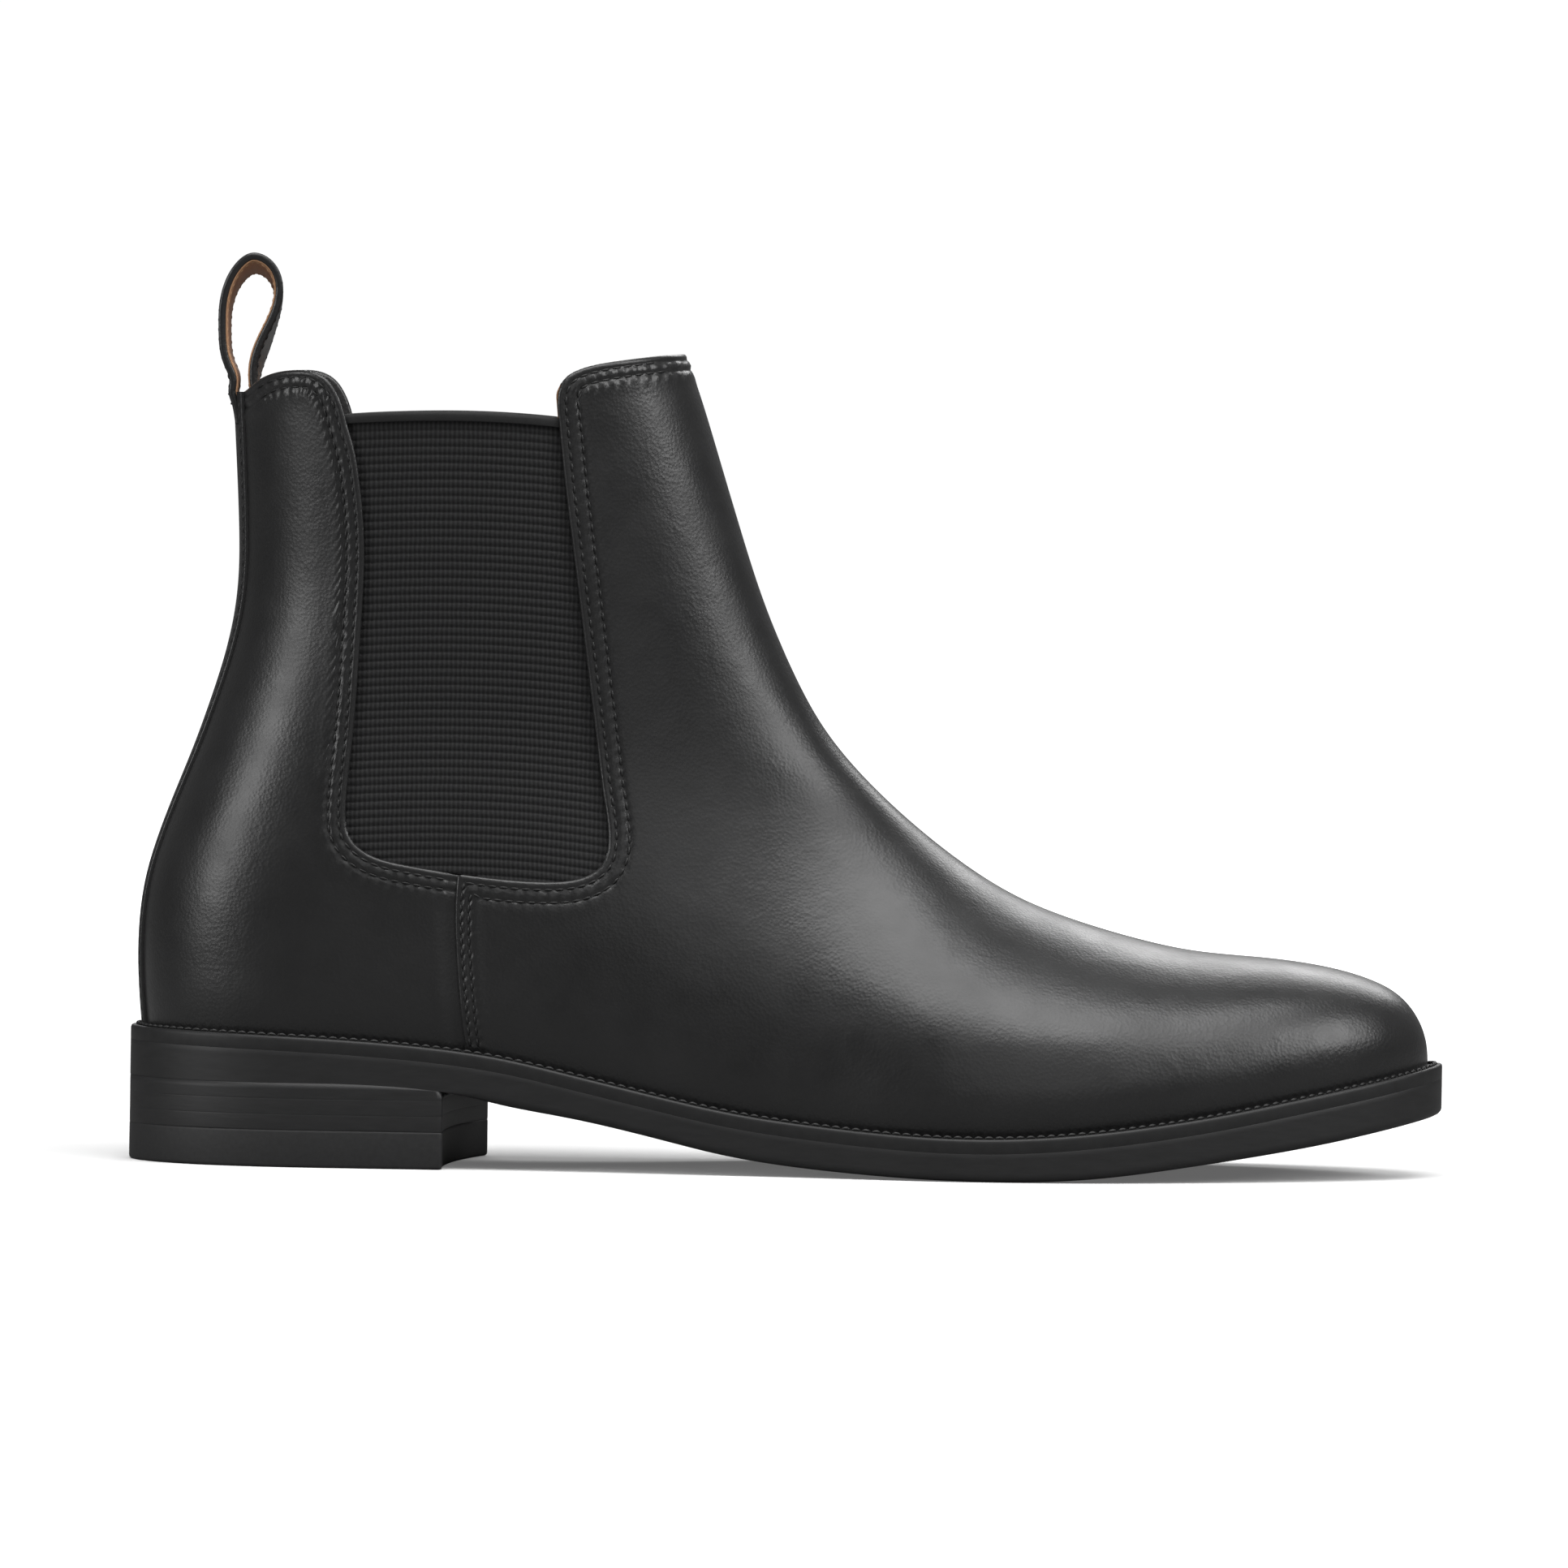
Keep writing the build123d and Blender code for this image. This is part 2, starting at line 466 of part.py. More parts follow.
def breast_tool():
    """Everything behind the heel's hollow front face."""
    front = Edge.make_spline([Vector(breast_x(y), y, -20) for y in np.linspace(-TOOL_REACH, TOOL_REACH, 9)])
    corners = [front @ 1, Vector(-20, TOOL_REACH, -20), Vector(-20, -TOOL_REACH, -20), front @ 0]
    sides = [Edge.make_line(a, b) for a, b in zip(corners, corners[1:])]
    return extrude(Face(Wire([front, *sides])), amount=80, dir=(0, 0, 1))


def make_heel():
    stack = layer(tread_z, 0, lambda x: 0 * x, TOP_LIFT_HEIGHT, x1=100) & plan_prism(HEEL_REACH) & breast_tool()
    heel_nails = pins(HEEL_NAILS, NAIL_RADIUS, *HEEL_NAIL_SPAN)
    step = (float(tread_z(20)) - TOP_LIFT_HEIGHT) / HEEL_LIFTS
    for i in range(HEEL_LIFTS):
        top = 60 if i == HEEL_LIFTS - 1 else TOP_LIFT_HEIGHT + (i + 1) * step
        slab = between(-20, 120, z0=TOP_LIFT_HEIGHT + i * step, z1=top)
        save(f"heel_lift_{i + 1}", (stack & slab) - heel_nails)
    lift_pins = pins(LIFT_PINS, PIN_RADIUS, PIN_RECESS, TOP_LIFT_HEIGHT)
    holes = pins(LIFT_PINS, PIN_RADIUS, -1, TOP_LIFT_HEIGHT + 1)
    save("top_lift", (plan_prism(HEEL_REACH, 0, TOP_LIFT_HEIGHT) & breast_tool()) - holes)
    save("top_lift_pins", lift_pins)


def make_inside(inside):
    """Insole board, foam and sock, inside the lining."""
    base = body(LINING_IN + INSIDE_GAP)
    insole_top = INSOLE_THICKNESS
    foam_top = insole_top + FOAM_THICKNESS
    save("insole_board", layer(feather_z, insole_top, feather_z, 0) & base)
    save("footbed_foam", layer(feather_z, foam_top, feather_z, insole_top) & base)
    save("sock_liner", layer(feather_z, foam_top + SOCK_THICKNESS, feather_z, foam_top) & base)


def make_welt_stitching():
    """The seam's thread, one low bead lying on the welt all the way round the upper."""
    bead = ring(STITCH_REACH + SEAM_HALF_WIDTH, STITCH_REACH - SEAM_HALF_WIDTH)
    save("welt_stitching", layer(feather_z, SEAM_HEIGHT, feather_z, 0) & bead)


def row_offset():
    """Where the row frame's origin lies in the last frame: under the middle of the boot's footprint."""
    edge = outline(WELT_REACH)
    return (edge.min(axis=0) + edge.max(axis=0)) / 2


def write_all():
    os.makedirs("parts", exist_ok=True)
    ox, oy = row_offset()
    for name, shape in pieces.items():
        moved = [Pos(-ox, -oy, 0) * solid for solid in shape.solids() if solid.volume > 0.02]
        export_step(moved[0] if len(moved) == 1 else Compound(moved), f"parts/{name}.step")
        size = (moved[0] if len(moved) == 1 else Compound(moved)).bounding_box()
        print(f"{name:24s} {len(moved):4d} solids {sum(s.volume for s in moved):10.1f} mm3 "
              f"{all(s.is_valid for s in moved)} {size}", flush=True)


inside_body = make_upper()
make_back_strip()
make_pull_tab()
make_sole()
make_heel()
make_inside(inside_body)
make_welt_stitching()
write_all()
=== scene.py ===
import math

import bmesh
import bpy
import numpy as np
from mathutils import Matrix, Vector


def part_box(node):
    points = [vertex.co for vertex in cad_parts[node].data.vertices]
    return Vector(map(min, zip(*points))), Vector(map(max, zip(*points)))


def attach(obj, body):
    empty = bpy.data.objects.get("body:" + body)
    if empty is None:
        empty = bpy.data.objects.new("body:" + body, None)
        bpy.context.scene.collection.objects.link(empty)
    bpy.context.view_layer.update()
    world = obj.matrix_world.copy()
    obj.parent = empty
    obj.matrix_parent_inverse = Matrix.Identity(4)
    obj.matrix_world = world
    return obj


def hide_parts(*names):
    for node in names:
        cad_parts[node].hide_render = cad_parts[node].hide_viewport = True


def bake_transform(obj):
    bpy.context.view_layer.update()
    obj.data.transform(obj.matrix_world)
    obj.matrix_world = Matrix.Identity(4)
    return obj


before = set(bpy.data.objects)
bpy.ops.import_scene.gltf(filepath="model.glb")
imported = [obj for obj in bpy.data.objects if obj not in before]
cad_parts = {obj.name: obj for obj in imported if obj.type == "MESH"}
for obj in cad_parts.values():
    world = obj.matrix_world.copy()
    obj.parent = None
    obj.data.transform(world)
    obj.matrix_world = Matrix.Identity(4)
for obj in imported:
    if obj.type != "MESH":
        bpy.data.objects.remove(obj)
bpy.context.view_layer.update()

# The looks of a black leather chelsea boot: upper with double-stitched seams, tan lining, ribbed elastic
# gussets, stitched welt, outsole, stacked heel with its pinned top lift, back strip and hinged pull tab.
#
# The boot's form is worked out in its last frame, in millimetres: X from the back of the heel to the toe,
# -Y the outer side, Z up. `place` takes points from there to the row frame in metres. The vamp's tip and the
# shank, which lies on the centre line, tell where the last frame is.
TOE_TIP_X, VAMP_TIP_GAP = 302.0, 0.03
SHIFT_X = TOE_TIP_X - VAMP_TIP_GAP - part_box("vamp")[1][0] * 1000
SHIFT_Y = -(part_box("shank")[0][1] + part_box("shank")[1][1]) * 500
SIDES = (("lateral", False), ("medial", True))


def place(points):
    """Last-frame millimetres to row-frame metres."""
    return (np.asarray(points, float) - [SHIFT_X, SHIFT_Y, 0]) / 1000


# ---------------- the boot's profiles, side view (x, z)
RIDGE = [(302, 25.9), (301.6, 31), (299.4, 37), (295, 42.2), (288, 45.9), (276, 49.0), (262, 50.7),
         (247, 52.0), (233, 54.8), (219, 58.8), (206, 63.8), (193, 71.4), (181, 80.5), (169.5, 91),
         (159.5, 102.8), (151.5, 117), (145, 132), (139.2, 149), (133.7, 166.5), (128.3, 183),
         (119.5, 205), (109.5, 232), (97.5, 266)]
BACK_X = ([26, 36, 46, 56, 66, 76, 86, 96, 106, 116, 126, 136, 150, 165, 180, 205],
          [2.6, 1.6, 1.0, 1.2, 2.6, 5.5, 9.2, 13.1, 16.6, 19.7, 22.0, 23.1, 23.0, 22.2, 21.3, 20.0])
FEATHER_Z = ([-6, 36, 60, 75, 86, 101, 120, 139, 158, 177, 195.5, 214, 233, 252, 270, 289, 312],
             [31.4, 30.3, 29.0, 27.6, 26.0, 22.8, 18.5, 14.6, 12.1, 10.5, 9.9, 10.6, 12.6, 15.5, 19.0, 22.9,
              28.1])
TREAD_Z = ([-6, 30, 60, 76, 86, 102, 113, 124, 136, 150, 166, 182, 196, 210, 224, 242, 261, 278, 293, 312],
           [19.8, 19.6, 19.2, 17.4, 15.2, 12.4, 10.2, 7.7, 5.0, 2.8, 1.3, 0.4, 0.05, 0.15, 1.0, 3.2, 6.0,
            8.9, 12.0, 16.2])
LATERAL_WIDTH = ([0, 30, 55, 80, 110, 140, 170, 200, 225, 250, 275, 305],
                 [31.5, 32.5, 33, 33.8, 37, 42.5, 49, 53.5, 52.5, 48.5, 44.5, 41])
MEDIAL_WIDTH = ([0, 30, 55, 80, 110, 140, 170, 200, 225, 250, 275, 305],
                [31.5, 32, 32, 30.8, 29.5, 32, 38.5, 44.5, 45.5, 44, 42.5, 41])
SHAFT_WIDTH = ([20, 50, 75, 100, 125, 150, 180, 210, 270], [33, 33.2, 31.8, 31, 31.2, 32, 33.2, 34.2, 36])
REAR_TOPLINE = [(14, 176.6), (20, 178.2), (23, 179.4), (26, 181.8), (29.5, 183.5), (34.5, 184.4),
                (39.5, 184.1), (42.6, 182.6), (45, 179.6), (46.6, 176), (47.7, 172)]
GUSSET_REAR_EDGE = [(47.7, 172), (49.3, 167), (50.8, 159), (51.9, 149), (52.2, 141), (51.9, 130),
                    (51.3, 118), (50.4, 102), (49.4, 91), (48.9, 82), (49.6, 77.4), (53.2, 73.5),
                    (63, 70.4), (75, 68.6)]
GUSSET_FRONT_EDGE = [(75, 68.6), (88, 67.3), (97, 67.1), (104, 68.2), (108.6, 71.4), (109.9, 77),
                     (108.7, 86.5), (107.2, 97), (104.6, 116), (101.6, 138), (98.6, 160), (97.0, 174)]
FRONT_TOPLINE = [(97.0, 174), (96.9, 180.5), (98.2, 183.4), (101.5, 185.6), (108, 187.4), (116, 188.7),
                 (123, 189.6), (132, 190)]
SIDE_SEAM = [(75, 68.6), (74.7, 64), (74.7, 56), (75.2, 48), (75.8, 41), (76.7, 33), (77.8, 24), (78.5, 10)]
ELASTIC_TOP = [(38, 173.0), (48, 173.9), (60, 174.6), (73, 174.9), (86, 174.6), (96.4, 173.9), (106, 172.9)]

# ---------------- driving values of the form
HEEL_ROUND = 45.0
TOE_ROUND_START, TOE_ROUND_POWER = 205.0, 2.6
DOME_POWER, OVAL_POWER, BACK_POWER = 2.2, 2.3, 2.4
INSTEP_BLEND = (150.0, 190.0)
INSTEP_FOOT, OVAL_SLOPE, OVAL_SPREAD = 75.0, 1.3, 0.0146
SHAFT_BLEND_START, SHAFT_BLEND_RUN = 20.0, 60.0
TUCK_HEIGHT, TUCK_SHARE, ARCH_TUCK_SHARE = 12.0, 0.045, 0.09
ARCH_MIDDLE, ARCH_SPREAD = 112.0, 30.0
TOE_SWING, SWING_START, SWING_RUN = 7.0, 150.0, 150.0
EDGE_BACK_Z = 26.0
HIDDEN_DEPTH, HIDDEN_ROUND = 10.0, 14.0
LEATHER = 1.5
LINE_STEP = 0.6


def smooth_curve(xs, ys):
    """A natural cubic spline y(x) through the points, as a function."""
    x, y = np.array(xs, float), np.array(ys, float)
    gap = np.diff(x)
    n = len(x)
    a, r = np.eye(n), np.zeros(n)
    for i in range(1, n - 1):
        a[i, i - 1:i + 2] = gap[i - 1], 2 * (gap[i - 1] + gap[i]), gap[i]
        r[i] = 6 * ((y[i + 1] - y[i]) / gap[i] - (y[i] - y[i - 1]) / gap[i - 1])
    m = np.linalg.solve(a, r)

    def value(q):
        q = np.asarray(q, float)
        i = np.clip(np.searchsorted(x, q) - 1, 0, n - 2)
        s, t, h = x[i + 1] - q, q - x[i], gap[i]
        return (m[i] * s**3 + m[i + 1] * t**3) / (6 * h) + (y[i] / h - m[i] * h / 6) * s + (
            y[i + 1] / h - m[i + 1] * h / 6) * t

    return value


def smooth_path(points, step=None, count=None):
    """Evenly spaced points along a smooth curve through the given ones."""
    p = np.array(points, float)
    s = np.concatenate([[0], np.cumsum(np.linalg.norm(np.diff(p, axis=0), axis=1))])
    curves = [smooth_curve(s, p[:, k]) for k in range(p.shape[1])]
    t = np.linspace(0, s[-1], max(400, 12 * len(p)))
    q = np.stack([c(t) for c in curves], axis=1)
    return even(q, step, count)


def even(q, step=None, count=None):
    """Evenly spaced points along a polyline, by their spacing or their number."""
    length = np.concatenate([[0], np.cumsum(np.linalg.norm(np.diff(q, axis=0), axis=1))])
    n = count or max(2, int(round(length[-1] / step)) + 1)
    t = np.linspace(0, length[-1], n)
    return np.stack([np.interp(t, length, q[:, k]) for k in range(q.shape[1])], axis=1)


ridge = smooth_path(RIDGE, count=1500)
ridge_x, ridge_z = ridge[:, 0], ridge[:, 1]
back_x = smooth_curve(*BACK_X)
feather_z = smooth_curve(*FEATHER_Z)
tread_z = smooth_curve(*TREAD_Z)
lateral_width = smooth_curve(*LATERAL_WIDTH)
medial_width = smooth_curve(*MEDIAL_WIDTH)
shaft_width = smooth_curve(*SHAFT_WIDTH)


def smoothstep(t):
    """0 below t = 0, 1 above t = 1 and a smooth step between."""
    t = np.clip(t, 0, 1)
    return t * t * (3 - 2 * t)


def centre_y(x):
    """The last's centre line, which swings to the inner side towards the toe."""
    return TOE_SWING * smoothstep((np.asarray(x, float) - SWING_START) / SWING_RUN)


def hidden_floor(x):
    """How far the upper turns in below its feather edge, out of sight."""
    heel = np.clip((HIDDEN_ROUND - x) / HIDDEN_ROUND, 0, 0.98)
    toe = np.clip((x - TOE_TIP_X + HIDDEN_ROUND) / HIDDEN_ROUND, 0, 0.98)
    return HIDDEN_DEPTH * np.sqrt((1 - heel**2) * (1 - toe**2))


def oval_front(z):
    """Where the shaft's oval plan ends in front: on the ridge, and on a smooth curve below the instep."""
    drop = np.maximum(INSTEP_FOOT - z, 0)
    on_ridge = np.interp(np.maximum(z, INSTEP_FOOT), ridge_z, ridge_x)
    return on_ridge + OVAL_SLOPE * drop + OVAL_SPREAD * drop ** 2


def square_width(x, z, medial):
    """Square of the boot's half width at a side-view point; it falls through zero at the silhouette."""
    x, z = np.asarray(x, float), np.asarray(z, float)
    low = feather_z(x)
    height = np.maximum(z - low, 0)
    top = np.maximum(np.interp(-x, -ridge_x, ridge_z) - low, 1)
    dome = 1 - (height / top) ** DOME_POWER + 1e-7
    reach = np.interp(z, ridge_z, ridge_x, left=TOE_TIP_X) - TOE_ROUND_START
    plan = 1 - np.maximum((x - TOE_ROUND_START) / np.maximum(reach, 1), 0) ** TOE_ROUND_POWER + 1e-7
    plan = np.where(x > TOE_ROUND_START, plan, 1)
    forepart = dome * plan / (dome + plan - dome * plan)
    middle = back_x(np.maximum(z, EDGE_BACK_Z)) + HEEL_ROUND
    front = oval_front(z)
    oval = 1 - np.maximum((x - middle) / (front - middle), 0) ** OVAL_POWER
    share = smoothstep((INSTEP_BLEND[1] - x) / (INSTEP_BLEND[1] - INSTEP_BLEND[0]))
    heel = 1 - np.maximum((middle - x) / HEEL_ROUND, 0) ** BACK_POWER
    foot = (medial_width if medial else lateral_width)(x)
    up = smoothstep((height - SHAFT_BLEND_START) / SHAFT_BLEND_RUN)
    base = foot * (1 - up) + shaft_width(z) * up
    under = 1 - np.clip((low - z) / hidden_floor(x), 0, 1) ** 2
    square = ((1 - share) * forepart + share * oval) * heel * under
    tuck = TUCK_SHARE + (ARCH_TUCK_SHARE * np.exp(-((x - ARCH_MIDDLE) / ARCH_SPREAD) ** 2) if medial else 0)
    return base**2 * square * (1 - tuck * (1 - np.minimum(height / TUCK_HEIGHT, 1)) ** 2) ** 2


def on_boot(x, z, medial, out=0.0, centre=False):
    """Points on the leather's outer face, or out millimetres off it, at side-view places (x, z).

    Also gives the face's normals there. centre marks places on the silhouette, where both sides meet."""
    e = 0.05
    x, z = np.asarray(x, float), np.asarray(z, float)
    q = np.where(centre, 0, square_width(x, z, medial))
    qx = (square_width(x + e, z, medial) - square_width(x - e, z, medial)) / (2 * e)
    qz = (square_width(x, z + e, medial) - square_width(x, z - e, medial)) / (2 * e)
    w = np.sqrt(np.maximum(q, 0)) * (1 if medial else -1)
    slope = (centre_y(x + e) - centre_y(x - e)) / (2 * e)
    normal = np.stack([-2 * w * slope - qx, 2 * w, -qz], axis=-1)
    normal /= np.linalg.norm(normal, axis=-1, keepdims=True) + 1e-12
    points = np.stack([x, centre_y(x) + w, z], axis=-1)
    return points + np.asarray(out)[..., None] * normal, normal


# ---------------- flat triangle meshes in side view
# The grid's rows are lines at 45 degrees, each at one tilt, x - z. They crowd together at the toe.
GRID_TILT, GRID_AROUND = 1.3, 120
TOP_TILT, CROWDED_TILT, TOE_TILT, CROWDED_ROWS = -164, 262, 276.0, 14
BACK_TOP_Z, FLOOR_START_X, FLOOR_END_X = 205, 3, 292


def side_grid():
    """Side-view points and triangles over the boot, from ridge to back, and which points are on its edge."""
    z = np.linspace(BACK_TOP_Z, 26, 400)
    x = np.linspace(FLOOR_START_X, FLOOR_END_X, 1200)
    rear = np.concatenate([np.stack([back_x(z), z], 1), np.stack([x, feather_z(x) - hidden_floor(x)], 1)])
    rear = rear[np.argsort(rear[:, 0] - rear[:, 1])]
    tilt = np.concatenate([np.arange(TOP_TILT, CROWDED_TILT, GRID_TILT),
                           np.linspace(CROWDED_TILT, TOE_TILT, CROWDED_ROWS)])
    front = ridge_x - ridge_z
    fx = np.interp(tilt, front[::-1], ridge_x[::-1])
    bx = np.interp(tilt, rear[:, 0] - rear[:, 1], rear[:, 0])
    h = (1 - np.cos(np.pi * np.arange(GRID_AROUND + 1) / GRID_AROUND)) / 2
    gx = fx[:, None] + h * (bx - fx)[:, None]
    gz = gx - tilt[:, None]
    rows, cols = gx.shape
    ids = np.arange(rows * cols).reshape(rows, cols)
    a, b, c, d = ids[:-1, :-1].ravel(), ids[:-1, 1:].ravel(), ids[1:, 1:].ravel(), ids[1:, :-1].ravel()
    tris = np.concatenate([np.stack([a, b, c], 1), np.stack([a, c, d], 1)])
    edge = np.zeros((rows, cols), bool)
    edge[:, [0, -1]] = True
    return np.stack([gx.ravel(), gz.ravel()], 1), tris, edge.ravel()


def cut(points, tris, edge, g, keep=None):
    """Cuts the triangles along g = 0. g gives one value per point. keep drops the negative side."""
    g = np.where(np.abs(g) < 1e-6, 0, g)
    s = np.sign(g).astype(int)[tris]
    mixed = (s.max(axis=1) > 0) & (s.min(axis=1) < 0)
    whole, split = tris[~mixed], tris[mixed]
    sm = s[mixed]
    lone = np.where(np.sum(sm == 1, axis=1) == 1, 1, -1)
    has_zero = np.any(sm == 0, axis=1)
    first = np.argmax(sm == lone[:, None], axis=1)
    first = np.where(has_zero, np.argmax(sm == 0, axis=1), first)
    r = np.arange(len(split))
    a, b, c = split[r, first], split[r, (first + 1) % 3], split[r, (first + 2) % 3]
    n = len(points)

    def key(p, q):
        return np.minimum(p, q) * np.int64(n) + np.maximum(p, q)

    keys = np.concatenate([key(a, b)[~has_zero], key(a, c)[~has_zero], key(b, c)[has_zero]])
    unique, where = np.unique(keys, return_inverse=True)
    lo, hi = unique // n, unique % n
    t = g[lo] / (g[lo] - g[hi])
    fresh = points[lo] + t[:, None] * (points[hi] - points[lo])
    k = int(np.sum(~has_zero))
    ab, ac, bc = where[:k] + n, where[k:2 * k] + n, where[2 * k:] + n
    o = ~has_zero
    z = has_zero
    made = [(a[o], ab, ac), (ab, b[o], c[o]), (ab, c[o], ac), (a[z], b[z], bc), (a[z], bc, c[z])]
    made = np.concatenate([np.stack(corners, 1) for corners in made])
    points = np.concatenate([points, fresh])
    edge = np.concatenate([edge, edge[lo] & edge[hi]])
    tris = np.concatenate([whole, made])
    g = np.concatenate([g, np.zeros(len(fresh))])
    if keep:
        tris = tris[g[tris].sum(axis=1) > 0]
    return points, tris, edge


def compact(points, tris, edge):
    """The mesh without the points that no triangle uses."""
    used = np.unique(tris)
    number = np.full(len(points), -1)
    number[used] = np.arange(len(used))
    return points[used], number[tris], edge[used]


def to_line(points, line):
    """Distance to an open polyline, and the run along it to the nearest point."""
    best = np.full(len(points), 1e9)
    run = np.zeros(len(points))
    start = 0.0
    for p, q in zip(line, line[1:]):
        d = q - p
        size = math.hypot(*d)
        if size == 0:
            continue
        t = np.clip(((points - p) @ d) / (size * size), 0, 1)
        away = np.hypot(*(points - p - t[:, None] * d).T)
        nearer = away < best
        best = np.where(nearer, away, best)
        run = np.where(nearer, start + t * size, run)
        start += size
    return best, run


def inside(points, polygon):
    """Which points lie inside a closed side-view polygon."""
    x, z = points.T
    result = np.zeros(len(points), bool)
    for (x0, z0), (x1, z1) in zip(polygon, np.roll(polygon, -1, axis=0)):
        if z0 != z1:
            crosses = ((z0 > z) != (z1 > z)) & (x < (x1 - x0) * (z - z0) / (z1 - z0) + x0)
            result ^= crosses
    return result


# ---------------- mesh helpers
def piece(name, points, faces, material, replaces=(), rides=True):
    """A mesh object from last-frame points, in its material's slot, which rides the boot or else rides no
    body.
    """
    name = name.replace(" ", "_")  # a piece's name may hold no spaces
    mesh = bpy.data.meshes.new(name)
    mesh.from_pydata([tuple(p) for p in place(points)], [], [tuple(int(i) for i in f) for f in faces])
    mesh.validate()
    bm = bmesh.new()
    bm.from_mesh(mesh)
    bmesh.ops.remove_doubles(bm, verts=bm.verts, dist=1e-5)
    bmesh.ops.dissolve_degenerate(bm, edges=bm.edges, dist=1e-6)
    bmesh.ops.recalc_face_normals(bm, faces=bm.faces)
    bm.to_mesh(mesh)
    bm.free()
    mesh.shade_smooth()
    obj = bpy.data.objects.new(name, mesh)
    bpy.context.collection.objects.link(obj)
    mesh.materials.append(material)
    if rides:
        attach(obj, "boot")
    if replaces:
        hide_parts(*replaces)
    return obj


def strip_faces(rows, cols, wrap_rows=False, wrap_cols=False, start=0):
    """Quads of a grid of points numbered row by row."""
    i = np.arange(rows if wrap_rows else rows - 1)
    j = np.arange(cols if wrap_cols else cols - 1)
    i, j = np.meshgrid(i, j, indexing="ij")
    i2, j2 = (i + 1) % rows, (j + 1) % cols
    quads = np.stack([i * cols + j, i * cols + j2, i2 * cols + j2, i2 * cols + j], axis=-1)
    return quads.reshape(-1, 4) + start


def joined(parts):
    """One list of points and faces from several."""
    points, faces, start = [], [], 0
    for p, f in parts:
        points.append(np.asarray(p, float))
        faces.extend([[int(i) + start for i in face] for face in f])
        start += len(p)
    return np.concatenate(points), faces


# ---------------- leather panels
STITCH_PITCH = 2.6
FOLD_ROUND = 0.9


def bell(d, centre, width):
    """A smooth bump of height 1 at the centre."""
    return np.exp(-((d - centre) / width) ** 2)


def rim_drop(d, thickness):
    """How far the face has rolled down at distance d from a folded edge."""
    t = np.clip(d / FOLD_ROUND, 0, 1)
    return thickness / 2 * (1 - np.sqrt(np.maximum(1 - (1 - t) ** 2, 0)))


def panel_mesh(polygon, outline, levels, floor_drop=1.2):
    """The side-view mesh inside a polygon, cut along its outline and along lines beside it."""
    points, tris, edge = side_grid()
    above = points[:, 1] - feather_z(points[:, 0]) + floor_drop
    points, tris, edge = compact(*cut(points, tris, edge, above, True))
    sign = np.where(inside(points, polygon), 1, -1)
    away, _ = to_line(points, outline)
    points, tris, edge = compact(*cut(points, tris, edge, sign * away, True))
    for level in levels:
        away, _ = to_line(points, outline)
        points, tris, edge = cut(points, tris, edge, away - level)
    away, run = to_line(points, outline)
    away = np.where(away < 1e-4, 0, away)
    return points, tris, edge, away, run


def leather_panel(name, mesh, top, low, material, replaces, sides=(False, True)):
    """Both faces of a panel, on one or both sides of the boot. top and low give the offset of each face."""
    points, tris, edge, away, run = mesh
    parts = []
    for medial in sides:
        faces = tris if medial else tris[:, ::-1]
        outer, _ = on_boot(points[:, 0], points[:, 1], medial, top(points, away, run), edge)
        inner, _ = on_boot(points[:, 0], points[:, 1], medial, low(points, away, run), edge)
        parts += [(outer, faces), (inner, faces[:, ::-1])]
    piece(name, *joined(parts), material, [replaces])


def chain(*lines):
    """Smooth lines one after the other, with a corner where two meet."""
    return np.concatenate([smooth_path(line, step=LINE_STEP) for line in lines])


# ---------------- materials
def new_material(name):
    """A node material, its tree and its shader."""
    m = bpy.data.materials.new(name)
    m.use_nodes = True
    tree = m.node_tree
    return m, tree, tree.nodes["Principled BSDF"]


def node(tree, kind, **values):
    """A new node; each value goes to the input of that name, or else to the setting."""
    n = tree.nodes.new("ShaderNode" + kind)
    for key, value in values.items():
        if key in n.inputs.keys():
            n.inputs[key].default_value = value
        else:
            setattr(n, key, value)
    return n


def set_sockets(shader, **values):
    """Sets inputs by name, with _ for each space."""
    for key, value in values.items():
        shader.inputs[key.replace("_", " ")].default_value = value


def bump_chain(tree, shader, layers):
    """Stacks (height socket, strength, distance) bumps and feeds the last into the shader."""
    previous = None
    for height, strength, distance in layers:
        b = node(tree, "Bump", Strength=strength, Distance=distance)
        tree.links.new(height, b.inputs["Height"])
        if previous:
            tree.links.new(previous.outputs["Normal"], b.inputs["Normal"])
        previous = b
    tree.links.new(previous.outputs["Normal"], shader.inputs["Normal"])


def object_coords(tree, scale=(1, 1, 1)):
    """The object's own coordinates in metres, scaled."""
    coords = node(tree, "TexCoord")
    mapping = node(tree, "Mapping")
    mapping.inputs["Scale"].default_value = scale
    tree.links.new(coords.outputs["Object"], mapping.inputs["Vector"])
    return mapping.outputs["Vector"]


def noise(tree, vector, scale, detail=4.0, roughness=0.55):
    """A noise texture's value."""
    n = node(tree, "TexNoise", Scale=scale, Detail=detail, Roughness=roughness)
    tree.links.new(vector, n.inputs["Vector"])
    return n.outputs["Fac"]


def ramp(tree, value, *stops):
    """A colour ramp through (place, colour or grey level) stops."""
    r = node(tree, "ValToRGB")
    elements = r.color_ramp.elements
    while len(elements) < len(stops):
        elements.new(0.5)
    for element, (at, colour) in zip(elements, stops):
        element.position = at
        element.color = (*colour, 1) if not isinstance(colour, float) else (colour, colour, colour, 1)
    tree.links.new(value, r.inputs["Fac"])
    return r.outputs["Color"]


